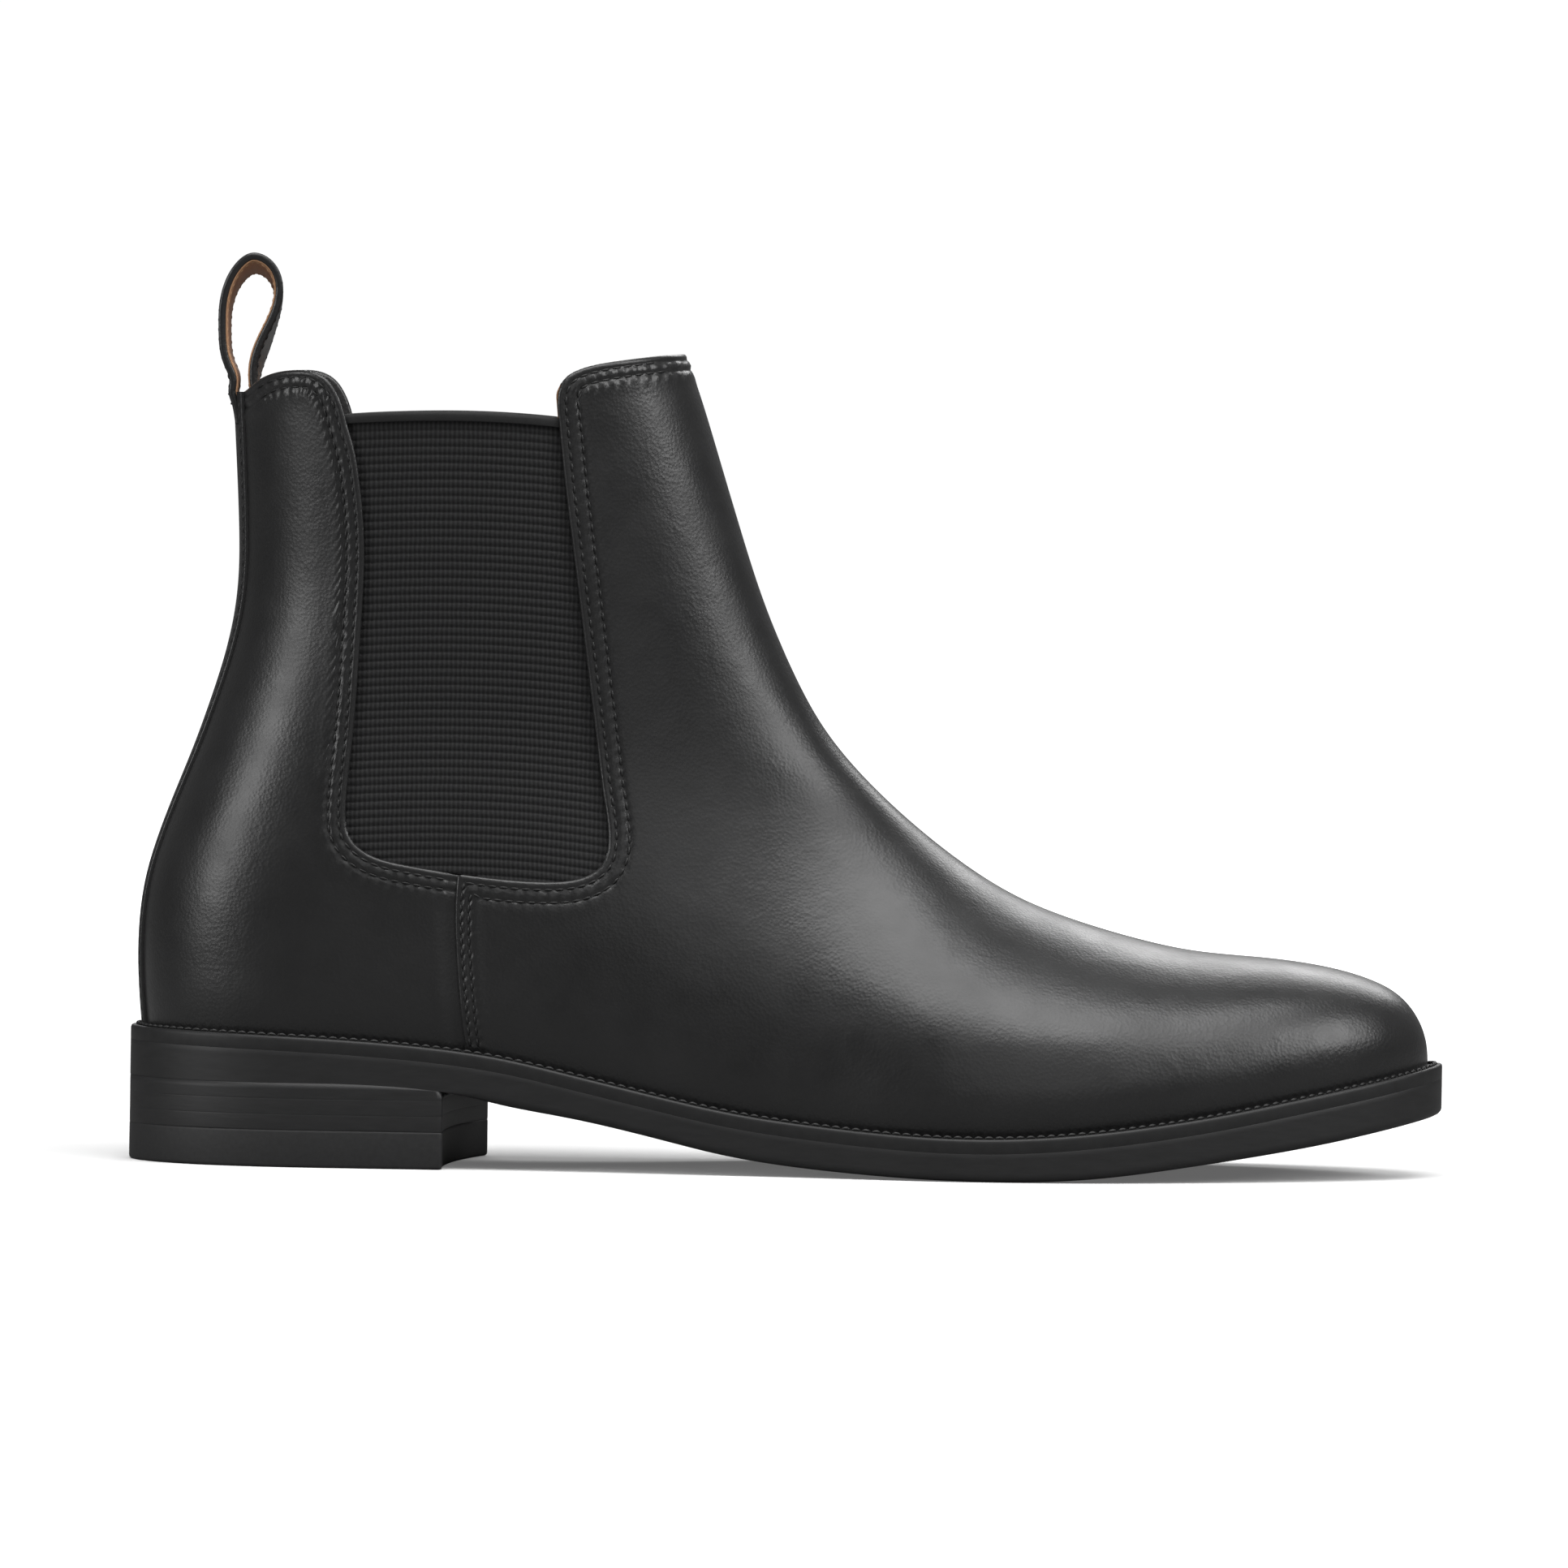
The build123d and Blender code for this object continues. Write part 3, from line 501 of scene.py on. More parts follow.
def leather(name, dark, light, rough, grain, coat=0.0):
    """Calf leather: fine cells and pores, cloudy colour and gloss, and the soft sheen of its finish."""
    m, tree, shader = new_material(name)
    v = object_coords(tree)
    clouds, gloss = noise(tree, v, 26.0, 5.0), noise(tree, v, 90.0, 6.0)
    tree.links.new(ramp(tree, clouds, (0.32, dark), (0.72, light)), shader.inputs["Base Color"])
    tree.links.new(ramp(tree, gloss, (0.3, rough - 0.05), (0.75, rough + 0.07)), shader.inputs["Roughness"])
    cells = node(tree, "TexVoronoi", Scale=1250.0)
    cells.feature = "F1"
    tree.links.new(v, cells.inputs["Vector"])
    pores = noise(tree, v, 2600.0, 3.0)
    soft = noise(tree, v, 60.0, 3.0)
    bump_chain(tree, shader, [(soft, 0.25, 0.0012), (cells.outputs["Distance"], grain, 0.00009),
                              (pores, grain * 0.7, 0.00005)])
    set_sockets(shader, Specular_IOR_Level=0.5, Coat_Weight=coat, Coat_Roughness=0.32, Coat_IOR=1.45,
                Sheen_Weight=0.04, Sheen_Roughness=0.5)
    return m


def woven(name, colour, light, pitch):
    """Ribbed elastic: fine lengthwise wales between the ribs that the mesh carries."""
    m, tree, shader = new_material(name)
    v = object_coords(tree)
    wales = node(tree, "TexWave", Scale=1 / (pitch * 2 * math.pi))
    wales.wave_type, wales.bands_direction, wales.wave_profile = "BANDS", "X", "SIN"
    wales.inputs["Distortion"].default_value = 1.6
    wales.inputs["Detail"].default_value = 1.0
    tree.links.new(v, wales.inputs["Vector"])
    fuzz = noise(tree, v, 1500.0, 5.0)
    bands = wales.outputs["Fac"]
    tree.links.new(ramp(tree, bands, (0.25, colour), (0.85, light)), shader.inputs["Base Color"])
    bump_chain(tree, shader, [(bands, 0.32, 0.00010), (fuzz, 0.7, 0.00018)])
    set_sockets(shader, Roughness=0.75, Specular_IOR_Level=0.25, Sheen_Weight=0.18, Sheen_Roughness=0.45)
    return m


def plain(name, dark, light, rough, scale=300.0, bump=0.2, depth=0.0001, metallic=0.0, streak=(1, 1, 1)):
    """One cloudy colour over one fine bump; streak stretches both along the axes with the smaller values."""
    m, tree, shader = new_material(name)
    v = object_coords(tree, streak)
    n = noise(tree, v, scale, 5.0)
    tree.links.new(ramp(tree, n, (0.3, dark), (0.75, light)), shader.inputs["Base Color"])
    bump_chain(tree, shader, [(n, bump, depth)])
    set_sockets(shader, Roughness=rough, Metallic=metallic)
    return m


def grey(value, tint=1.03):
    """A grey, by default a trace blue."""
    return (value, value, value * tint)


CALF = leather("black calf", grey(0.0080), grey(0.012), 0.36, 0.48, coat=0.22)
TAN = leather("tan lining leather", (0.33, 0.17, 0.085), (0.46, 0.26, 0.14), 0.62, 0.30)
ELASTIC = woven("black ribbed elastic", grey(0.008), grey(0.020), 0.00055)
TAPE = plain("black tape", grey(0.004), grey(0.008), 0.75, 900.0, 0.5)
THREAD = plain("black waxed thread", grey(0.004), grey(0.010), 0.5, 3000.0, 0.5, 0.00005)
TAN_THREAD = plain("tan thread", (0.42, 0.26, 0.14), (0.58, 0.38, 0.22), 0.55, 3000.0, 0.5, 0.00005)
WELT = plain("black welt leather", grey(0.009), grey(0.015), 0.52, 420.0, 0.3, 0.00012)
SOLE = plain("inked sole edge", grey(0.010), grey(0.016), 0.52, 160.0, 0.22, 0.00015, streak=(1, 1, 5))
TREAD = plain("black leather tread", grey(0.022), grey(0.040), 0.60, 120.0, 0.35, 0.00018)
HEEL = plain("stacked heel", grey(0.012), grey(0.018), 0.52, 170.0, 0.22, 0.00012, streak=(1, 1, 7))
RUBBER = plain("top lift rubber", grey(0.016), grey(0.023), 0.58, 900.0, 0.25)
INSOLE = plain("insole leather", (0.36, 0.22, 0.12), (0.46, 0.30, 0.17), 0.8)
CANVAS = plain("canvas rib", (0.6, 0.57, 0.48), (0.72, 0.69, 0.6), 0.9, 900.0, 0.4)
FOAM = plain("latex foam", (0.7, 0.68, 0.6), (0.8, 0.78, 0.7), 0.9, 900.0, 0.5)
CORK = plain("cork", (0.25, 0.14, 0.07), (0.5, 0.33, 0.18), 0.9, 260.0, 0.6)
STEEL = plain("shank steel", (0.45, 0.46, 0.48), (0.6, 0.6, 0.62), 0.32, 120.0, 0.1, metallic=1.0,
              streak=(1, 18, 18))
NAIL = plain("nail steel", (0.4, 0.4, 0.42), (0.55, 0.55, 0.57), 0.4, 400.0, 0.1, metallic=1.0)
BRASS = plain("brass pins", (0.5, 0.36, 0.15), (0.66, 0.48, 0.22), 0.38, 900.0, 0.2, metallic=1.0)
STIFFENER = plain("stiffener", (0.6, 0.57, 0.5), (0.7, 0.67, 0.6), 0.8)

NODE_MATERIALS = [
    (CALF, "vamp quarter_lateral quarter_medial back_strip pull_tab_anchor pull_tab"),
    (TAN, "pull_tab_lining vamp_lining quarter_lining_lateral quarter_lining_medial sock_liner"),
    (ELASTIC, "gusset_lateral gusset_medial"), (TAPE, "gusset_binding_lateral gusset_binding_medial"),
    (STIFFENER, "toe_puff heel_counter"), (INSOLE, "insole_board"), (CANVAS, "insole_rib"),
    (FOAM, "footbed_foam"), (CORK, "cork_filler"), (STEEL, "shank"), (NAIL, "heel_nails"), (WELT, "welt"),
    (SOLE, "outsole"), (HEEL, "heel_lift_1 heel_lift_2 heel_lift_3"), (RUBBER, "top_lift"),
    (BRASS, "top_lift_pins"), (THREAD, "welt_stitching")]
for cover, names in NODE_MATERIALS:
    for node_name in names.split():
        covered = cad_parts[node_name].data.materials
        covered.clear()
        covered.append(cover)


# ---------------- the leather upper
# The stitch rows' distances from a panel's edge are given at marks, in millimetres along its outline.
SEAM_LINE = smooth_path(SIDE_SEAM, step=LINE_STEP)
SEAM_RUN = len(SEAM_LINE) * LINE_STEP
FRONT_OUTLINE = chain(SIDE_SEAM[::-1], GUSSET_FRONT_EDGE, FRONT_TOPLINE)
REAR_OUTLINE = chain([(80, 68.4), (77.5, 68.4), *GUSSET_REAR_EDGE[::-1]], REAR_TOPLINE[::-1])
FRONT_POLYGON = np.concatenate([FRONT_OUTLINE, [(320, 190), (320, -20), (79, -20)]])
REAR_POLYGON = np.concatenate([REAR_OUTLINE, [(-20, 176), (-20, -20), (80, -20)]])
FRONT_MARKS = [0, SEAM_RUN - 8, SEAM_RUN + 4, SEAM_RUN + 140, SEAM_RUN + 152, 400]
FRONT_ROWS = ([1.3, 1.3, 1.9, 1.9, 1.6, 1.6], [3.1, 3.1, 4.9, 4.9, 3.9, 3.9])
REAR_MARKS = [0, 132, 144, 400]
REAR_ROWS = ([1.7, 1.7, 1.6, 1.6], [4.1, 4.1, 3.9, 3.9])
SEAM_DIP, SEAM_DIP_WIDTH, SEAM_DIP_INSIDE = 1.15, 4.5, 0.3
LEVELS = [0.1, 0.25, 0.5, 0.9, 1.3, 1.7, 2.1, 3.1, 3.5, 3.9, 4.3, 4.9, 5.3]


def relief(away, run, marks, rows):
    """Grooves along the stitch rows, soft padding between them and small puckers beside each stitch."""
    r1, r2 = (np.interp(run, marks, row) for row in rows)
    wave = np.cos(2 * np.pi * run / STITCH_PITCH)
    out = -0.24 * bell(away, r1, 0.42) - 0.27 * bell(away, r2, 0.44)
    out += 0.14 * bell(away, (r1 + r2) / 2, (r2 - r1) * 0.30) + 0.16 * bell(away, r2 + 1.7, 1.2)
    out += 0.12 * wave * (bell(away, r1 + 0.7, 0.5) + bell(away, r2 - 0.7, 0.5) + bell(away, r2 + 0.9, 0.8))
    return out


def front_top(points, away, run):
    """The vamp's outer face: seam relief and the rolled edge."""
    return relief(away, run, FRONT_MARKS, FRONT_ROWS) - rim_drop(away, LEATHER)


def seam_dip(points):
    """How the quarter sinks under the vamp at the side seam."""
    away, _ = to_line(points, SEAM_LINE)
    ahead = points[:, 0] - np.interp(points[:, 1], SEAM_LINE[::-1, 1], SEAM_LINE[::-1, 0])
    return -SEAM_DIP * np.where(ahead > 0, 1, 1 - smoothstep(away / SEAM_DIP_WIDTH))


def rear_top(points, away, run):
    """The quarter's outer face."""
    return (relief(away, run, REAR_MARKS, REAR_ROWS) - rim_drop(away, LEATHER)) + seam_dip(points)


def flat_low(points, away, run):
    """A panel's inner face, rolled at the edge."""
    return -LEATHER + rim_drop(away, LEATHER)


def rear_low(points, away, run):
    """The quarter's inner face, which sinks a little with the outer one."""
    flat = flat_low(points, away, run)
    return np.minimum(flat, flat + seam_dip(points) * SEAM_DIP_INSIDE)


front_mesh = panel_mesh(FRONT_POLYGON, FRONT_OUTLINE, LEVELS)
rear_mesh = panel_mesh(REAR_POLYGON, REAR_OUTLINE, LEVELS)
leather_panel("vamp leather", front_mesh, front_top, flat_low, CALF, "vamp")
for side, medial in SIDES:
    leather_panel(f"quarter leather {side}", rear_mesh, rear_top, rear_low, CALF, f"quarter_{side}",
                  (medial,))


# ---------------- linings, inside the leather
LINING_OUTER, LINING_INNER, LINING_EDGE = 0.15, 1.75, 0.6
BEHIND_OUTER, BEHIND_INNER = 1.15, 0.25
BEHIND_NEAR, BEHIND_RUN = 6.5, 3.5
LINING_LEVELS = [0.3, 0.9, 2.0]


def behind_elastic(points):
    """1 where the lining lies inside the elastic's edge, 0 where it lies on the leather."""
    line = np.concatenate([GUSSET_REAR_EDGE, GUSSET_FRONT_EDGE[1:]])
    away, _ = to_line(points, smooth_path([tuple(p) for p in line], step=1.0))
    return 1 - smoothstep((away - BEHIND_NEAR) / BEHIND_RUN)


def lining_top(points, away, run):
    """The lining's face against the leather or the elastic."""
    return -LEATHER - LINING_OUTER - BEHIND_OUTER * behind_elastic(points) - rim_drop(away, LINING_EDGE)


def lining_low(points, away, run):
    """The lining's face towards the foot."""
    return -LEATHER - LINING_INNER - BEHIND_INNER * behind_elastic(points) + rim_drop(away, LINING_EDGE)


def lowered(line, by, back=0.0):
    """The line moved down, and back from the gusset where it nears it."""
    return [(x - back * min(max((x - 33) / 8, 0), 1), z - by) for x, z in line]


def lining_panels():
    """The vamp's lining and the two quarter linings, cut like the leather but trimmed at the topline."""
    front = chain(SIDE_SEAM[::-1], GUSSET_FRONT_EDGE[:-1], lowered(FRONT_TOPLINE[1:], 0.7))
    rear = chain([(75, 68.4), *GUSSET_REAR_EDGE[::-1][1:-2]], lowered(REAR_TOPLINE[::-1], 1.6, 2.6))
    front_shape = np.concatenate([front, [(320, 190), (320, -20), (79, -20)]])
    rear_shape = np.concatenate([rear, [(-20, 176), (-20, -20), (78, -20), (75, 60)]])
    mesh = panel_mesh(front_shape, front, LINING_LEVELS)
    faces = (lining_top, lining_low, TAN)
    leather_panel("vamp lining leather", mesh, *faces, "vamp_lining")
    mesh = panel_mesh(rear_shape, rear, LINING_LEVELS)
    for side, medial in SIDES:
        leather_panel(f"quarter lining leather {side}", mesh, *faces, f"quarter_lining_{side}", (medial,))


lining_panels()


# ---------------- elastic gussets
RIB_PITCH, RIB_ROWS, RIB_DEPTH = 1.9, 8, 0.27
RIBS_START = 2.2
GUSSET_SPAN = (43.5, 115.0)
GUSSET_HEIGHT = 113.0
ELASTIC_OUTER, ELASTIC_INNER = 0.42, 0.95
TAPE_SPAN = (45.0, 99.5)
TAPE_SECTION = [(-1.05, -1.7), (-1.0, -1.5), (-0.98, -0.3), (-1.1, 0.25), (-1.5, 0.5), (-2.0, 0.52),
                (-2.7, 0.3), (-2.95, -0.2), (-2.95, -1.6), (-2.85, -1.75), (-2.0, -1.6)]
elastic_top = smooth_curve([p[0] for p in ELASTIC_TOP], [p[1] for p in ELASTIC_TOP])


def gusset_sheet(medial, base, rib):
    """One face of the elastic: rows follow the arch of its top edge."""
    x = np.linspace(*GUSSET_SPAN, 90)
    rows = int(GUSSET_HEIGHT / RIB_PITCH * RIB_ROWS)
    t = np.arange(rows) / RIB_ROWS * RIB_PITCH
    gx, drop = np.meshgrid(x, t)
    gz = elastic_top(gx) - drop
    lane = np.abs(np.sin(np.pi * drop / RIB_PITCH)) ** 0.8
    lane = np.where(drop < RIBS_START, 0.5, lane)
    points, _ = on_boot(gx.ravel(), gz.ravel(), medial, (base + rib * lane).ravel())
    faces = strip_faces(rows, len(x))
    return points, faces


def tube_faces(around, along):
    """Faces of a closed bar: its sides and both end caps, for rows of points that each run its length."""
    caps = [[i * along for i in range(around)], [i * along + along - 1 for i in range(around)][::-1]]
    return [*strip_faces(around, along, wrap_rows=True), *caps]


def gusset(side, medial):
    """The ribbed elastic and the tape that binds its top edge."""
    outer = gusset_sheet(medial, -LEATHER - ELASTIC_OUTER, RIB_DEPTH)
    inner = gusset_sheet(medial, -LEATHER - ELASTIC_INNER, -RIB_DEPTH / 2)
    sheets = joined([outer, (inner[0], inner[1][:, ::-1])])
    piece(f"elastic {side}", *sheets, ELASTIC, [f"gusset_{side}"])
    x = np.linspace(*TAPE_SPAN, 80)
    rows = [on_boot(x, elastic_top(x) + up, medial, out)[0] for out, up in TAPE_SECTION]
    piece(f"gusset tape {side}", np.concatenate(rows), tube_faces(len(rows), len(x)), TAPE,
          [f"gusset_binding_{side}"])


for side, medial in SIDES:
    gusset(side, medial)


# ---------------- stitches
# A stitch's rings: share of its length, share of its radius, share of its bow.
STITCH_RINGS = [(0.0, 0.25, -0.25), (0.08, 0.75, -0.08), (0.3, 1.0, 0.5), (0.5, 1.05, 0.8), (0.7, 1.0, 0.5),
                (0.92, 0.75, -0.08), (1.0, 0.25, -0.25)]
LONGEST_STEP = 4.0
SEAM_STITCH_DEPTH = 0.14


def capsule(a, b, radius, normal, bow=0.12, around=6):
    """One stitch from a to b, arched a little off the surface."""
    a, b = np.asarray(a), np.asarray(b)
    axis = (b - a) / (np.linalg.norm(b - a) + 1e-9)
    side = np.cross(axis, normal)
    side /= np.linalg.norm(side) + 1e-9
    up = np.cross(side, axis)
    rings = []
    for t, r, lift in STITCH_RINGS:
        centre = a + (b - a) * t + up * lift * bow
        angle = np.arange(around) * 2 * np.pi / around
        rings.append(centre + radius * r * (np.cos(angle)[:, None] * side + np.sin(angle)[:, None] * up))
    points = np.concatenate(rings)
    faces = [list(f) for f in strip_faces(len(rings), around, wrap_cols=True)]
    faces += [list(range(around))[::-1], list(range(len(points) - around, len(points)))]
    return points, faces


def stitches(places, normals, radius=0.27, share=0.74, slant=0.0, sink=0.03):
    """Points and faces of a stitch between each two neighbouring places, all slanted alike."""
    parts = []
    for a, b, n in zip(places, places[1:], normals):
        if np.linalg.norm(b - a) < LONGEST_STEP:
            middle, along = (a + b) / 2 - n * sink, (b - a) * share / 2 + np.cross(n, b - a) * slant
            parts.append(capsule(middle - along, middle + along, radius, n))
    return joined(parts)


def beside(line, reach):
    """Stitch places at a distance to the left of a side-view line, away from its inner corners."""
    tangent = np.gradient(line, axis=0)
    tangent /= np.linalg.norm(tangent, axis=1, keepdims=True)
    moved = line + np.stack([-tangent[:, 1], tangent[:, 0]], 1) * reach[:, None]
    away, _ = to_line(moved, line)
    moved = moved[away > np.abs(reach) - 0.12]
    return even(moved, step=STITCH_PITCH)


def seam_stitches():
    """Double rows round the gussets, along the toplines and down the side seam."""
    run = np.arange(len(FRONT_OUTLINE)) * LINE_STEP
    rear_run = np.arange(len(REAR_OUTLINE)) * LINE_STEP
    for k in (0, 1):
        for title, line, reach, end_x in (
                ("front", FRONT_OUTLINE, -np.interp(run, FRONT_MARKS, FRONT_ROWS[k]), TOE_TIP_X),
                ("rear", REAR_OUTLINE, np.interp(rear_run, REAR_MARKS, REAR_ROWS[k]), 74.0)):
            path = beside(line, reach)
            path = path[path[:, 1] > feather_z(path[:, 0]) + 1.0]
            path = path[square_width(path[:, 0], path[:, 1], False) > 4.0]
            path = path[path[:, 0] < end_x]
            for side, medial in SIDES:
                row = on_boot(path[:, 0], path[:, 1], medial, -SEAM_STITCH_DEPTH)
                piece(f"stitches {title} {k} {side}", *stitches(*row), THREAD)


seam_stitches()


# ---------------- back strip
def back_place(z, reach, medial, out):
    """Points on the heel's back at heights z, reach millimetres to one side of the centre line."""
    lo = back_x(z).copy()
    hi = lo + 30.0
    for _ in range(30):
        middle = (lo + hi) / 2
        small = square_width(middle, z, medial) < reach**2
        lo, hi = np.where(small, middle, lo), np.where(small, hi, middle)
    return on_boot((lo + hi) / 2, z, medial, out, reach < 1e-6)


STRIP_TOP, STRIP_LOW = 179.2, 29.5
STRIP_STITCH_SHARE, STRIP_STITCH_HEIGHT = 0.84, 0.80
strip_half = smooth_curve([28, 60, 110, 150, 182], [6.0, 6.2, 7.6, 9.6, 10.6])


def back_strip():
    """The strip over the heel's back seam, its face given at shares of its half width, and its stitches."""
    z = np.linspace(STRIP_LOW, STRIP_TOP, 150)
    share = np.array([0, 0.2, 0.4, 0.6, 0.74, 0.80, 0.84, 0.88, 0.93, 0.965, 0.985, 0.996, 1.0, 1.0])
    lift = np.array([1, 1, 1, 1.0, 1.0, 0.93, 0.84, 0.95, 1.02, 0.93, 0.72, 0.45, 0.15, -0.3]) * 0.9
    parts = []
    for medial in (False, True):
        cols = [back_place(z, strip_half(z) * s, medial, h)[0] for s, h in zip(share, lift)]
        grid = np.stack(cols, axis=1).reshape(-1, 3)
        parts.append((grid, strip_faces(len(z), len(share))))
    piece("back strip leather", *joined(parts), CALF, ["back_strip"])
    zs = np.arange(STRIP_LOW + 2, STRIP_TOP - 1, STITCH_PITCH)
    for side, medial in SIDES:
        row = back_place(zs, strip_half(zs) * STRIP_STITCH_SHARE, medial, STRIP_STITCH_HEIGHT)
        piece(f"stitches back strip {side}", *stitches(*row), THREAD)


back_strip()


# ---------------- sole, welt and heel
WELT_THICKNESS, WELT_REACH, HEEL_REACH = 3.4, 3.40, 3.38
TOP_LIFT_HEIGHT, HEEL_TOP_HEIGHT = 8.6, 19.6
# Rings of the welt and of the outsole's upper part: reach past the upper, side they follow, height above it.
WELT_RINGS = [(-3.0, "top", 0.35), (-0.6, "top", 0.35), (0.1, "top", 0.1), (0.5, "top", -0.15),
              (1.0, "top", -0.1), (1.3, "top", 0.0), (2.7, "top", 0.0), (3.0, "top", -0.06),
              (3.25, "top", -0.25), (3.38, "top", -0.6), (3.40, "top", -1.0), (3.40, "low", 0.05),
              (3.38, "low", 0.0), (2.9, "low", 0.0), (-3.0, "low", 0.0)]
OUTSOLE_RINGS = [(-3.0, "low", -0.02), (2.9, "low", -0.02), (3.38, "low", -0.01), (3.40, "low", -0.05),
                 (3.40, "low", -1.2)]
# The outsole's lower edge: reach, height above the tread. The bevel fades out where the heel begins.
OUTSOLE_EDGE = [(3.40, 2.0), (3.38, 1.3), (3.2, 0.75), (2.7, 0.28), (2.0, 0.05), (1.2, 0.0)]
BEVEL_LEAST, BEVEL_START, BEVEL_RUN = 0.03, 70.0, 14.0
WELT_STITCH_REACH, WELT_STITCH_PITCH = 1.75, 2.4


def feather_edge(points=260):
    """The upper's edge in plan, all round, from the back along the outer side."""
    h = (1 - np.cos(np.pi * np.arange(points + 1) / points)) / 2
    x_back = float(back_x(31))
    x = x_back + h * (TOE_TIP_X - x_back)
    sides = []
    for medial in (False, True):
        w = np.sqrt(np.maximum(square_width(x, feather_z(x), medial), 0))
        w[[0, -1]] = 0
        sides.append(np.stack([x, centre_y(x) + (w if medial else -w)], axis=1))
    return np.concatenate([sides[0][:-1], sides[1][:0:-1]])


EDGE = feather_edge()
along_edge = np.roll(EDGE, -1, axis=0) - np.roll(EDGE, 1, axis=0)
EDGE_NORMAL = np.stack([-along_edge[:, 1], along_edge[:, 0]], axis=1)
EDGE_NORMAL /= np.linalg.norm(EDGE_NORMAL, axis=1, keepdims=True)
if np.sum(EDGE_NORMAL * (EDGE - EDGE.mean(axis=0))) < 0:
    EDGE_NORMAL = -EDGE_NORMAL


def sole_ring(reach, height):
    """Points round the sole: reach past the upper's edge, height from a function of x."""
    p = EDGE + np.reshape(reach, (-1, 1)) * EDGE_NORMAL
    return np.stack([p[:, 0], p[:, 1], height(p[:, 0])], axis=1)


def welt_rings(shape):
    """Sole rings that follow the welt's top or its underside."""
    drop = {"top": 0.0, "low": WELT_THICKNESS}
    return [sole_ring(reach, lambda x, side=side, up=up: feather_z(x) - drop[side] + up)
            for reach, side, up in shape]


def ring_stack(rings):
    """The skin through closed rings of equal length."""
    return np.concatenate(rings), strip_faces(len(rings), len(rings[0]), wrap_cols=True)


def bottom_fill(reach, height, across=24):
    """A sheet from the outer to the inner side, inside a sole ring."""
    ring = sole_ring(reach, height)
    n = len(ring) // 2
    lateral, medial = ring[:n + 1], np.concatenate([ring[:1], ring[:n - 1:-1]])
    t = np.linspace(0, 1, across)[:, None, None]
    sheet = lateral[None] * (1 - t) + medial[None] * t
    flat = sheet.reshape(-1, 3)
    flat[:, 2] = height(flat[:, 0])
    return flat, strip_faces(across, n + 1)


def welt_piece():
    """The welt, with a shallow stitch groove on top."""
    piece("welt", *ring_stack(welt_rings(WELT_RINGS)), WELT, ["welt"])


def outsole_piece():
    """The outsole: inked edge with a bevel, and the tread face in a second material."""
    bevel = BEVEL_LEAST + (1 - BEVEL_LEAST) * smoothstep((EDGE[:, 0] - BEVEL_START) / BEVEL_RUN)

    def reach_at(reach):
        return WELT_REACH - (WELT_REACH - reach) * bevel

    rings = welt_rings(OUTSOLE_RINGS)
    rings += [sole_ring(reach_at(r), lambda x, up=up: tread_z(x) + up * bevel) for r, up in OUTSOLE_EDGE]
    fill = bottom_fill(reach_at(OUTSOLE_EDGE[-1][0]), tread_z)
    obj = piece("outsole", *joined([ring_stack(rings), fill]), SOLE, ["outsole"])
    obj.data.materials.append(TREAD)
    for polygon in obj.data.polygons:
        if polygon.normal.z < -0.75:
            polygon.material_index = 1


BREAST_OUTER_X, BREAST_SKEW, BREAST_HOLLOW, BREAST_HALF = 72.5, 10.5, 3.0, 35.0
HEEL_POINTS = 400


def breast_x(y):
    """The heel's front face in plan: hollow, and further forward on the inner side."""
    share = y / BREAST_HALF
    return BREAST_OUTER_X + BREAST_SKEW * (1 + share) / 2 - BREAST_HOLLOW * (1 - share**2)


def rounded_corners(line):
    """The closed line with its sharp corners cut back."""
    for _ in range(3):
        before, after = np.roll(line, 1, axis=0), np.roll(line, -1, axis=0)
        line = line * 0.6 + (before + after) * 0.2
    return line


def heel_outline(reach, inset):
    """The heel's plan, from the outer breast corner round the back, closed by the hollow breast."""
    p = EDGE + reach * EDGE_NORMAL
    n = len(p) // 2
    order = np.roll(p, n - 1, axis=0)
    keep = order[order[:, 0] < breast_x(order[:, 1]) - inset - 0.3]
    y = np.linspace(keep[-1][1], keep[0][1], 40)
    face = np.stack([breast_x(y) - inset, y], axis=1)
    closed = np.concatenate([keep, face, keep[:1]])
    return rounded_corners(even(closed, count=HEEL_POINTS + 1)[:-1])


LIFT_PINS = [(7, -12), (4.5, 0), (7, 12), (20, -22), (20, 22), (38, -26), (38, 26), (56, -27), (58, 26)]
PIN_HOLE_RADIUS, PIN_HOLE_DEPTH, PIN_SIDES = 0.93, 0.8, 20


def pinned_floor(outline):
    """The flat underside inside an outline, with a short open hole at every pin."""
    turn = np.arange(PIN_SIDES) * 2 * np.pi / PIN_SIDES
    circle = PIN_HOLE_RADIUS * np.stack([np.cos(turn), np.sin(turn), 0 * turn], axis=1)
    loops = [outline] + [circle + [x, y, 0] for x, y in LIFT_PINS]
    bm = bmesh.new()
    edges = []
    for loop in loops:
        verts = [bm.verts.new(p) for p in loop]
        edges += [bm.edges.new(pair) for pair in zip(verts, verts[1:] + verts[:1])]
    bmesh.ops.triangle_fill(bm, edges=edges, use_beauty=True, normal=(0, 0, -1))
    bm.verts.index_update()
    parts = [(np.array([v.co for v in bm.verts]), np.array([[v.index for v in f.verts] for f in bm.faces]))]
    bm.free()
    for loop in loops[1:]:
        parts.append((np.concatenate([loop, loop + [0, 0, PIN_HOLE_DEPTH]]),
                      strip_faces(2, PIN_SIDES, wrap_cols=True)))
    return joined(parts)


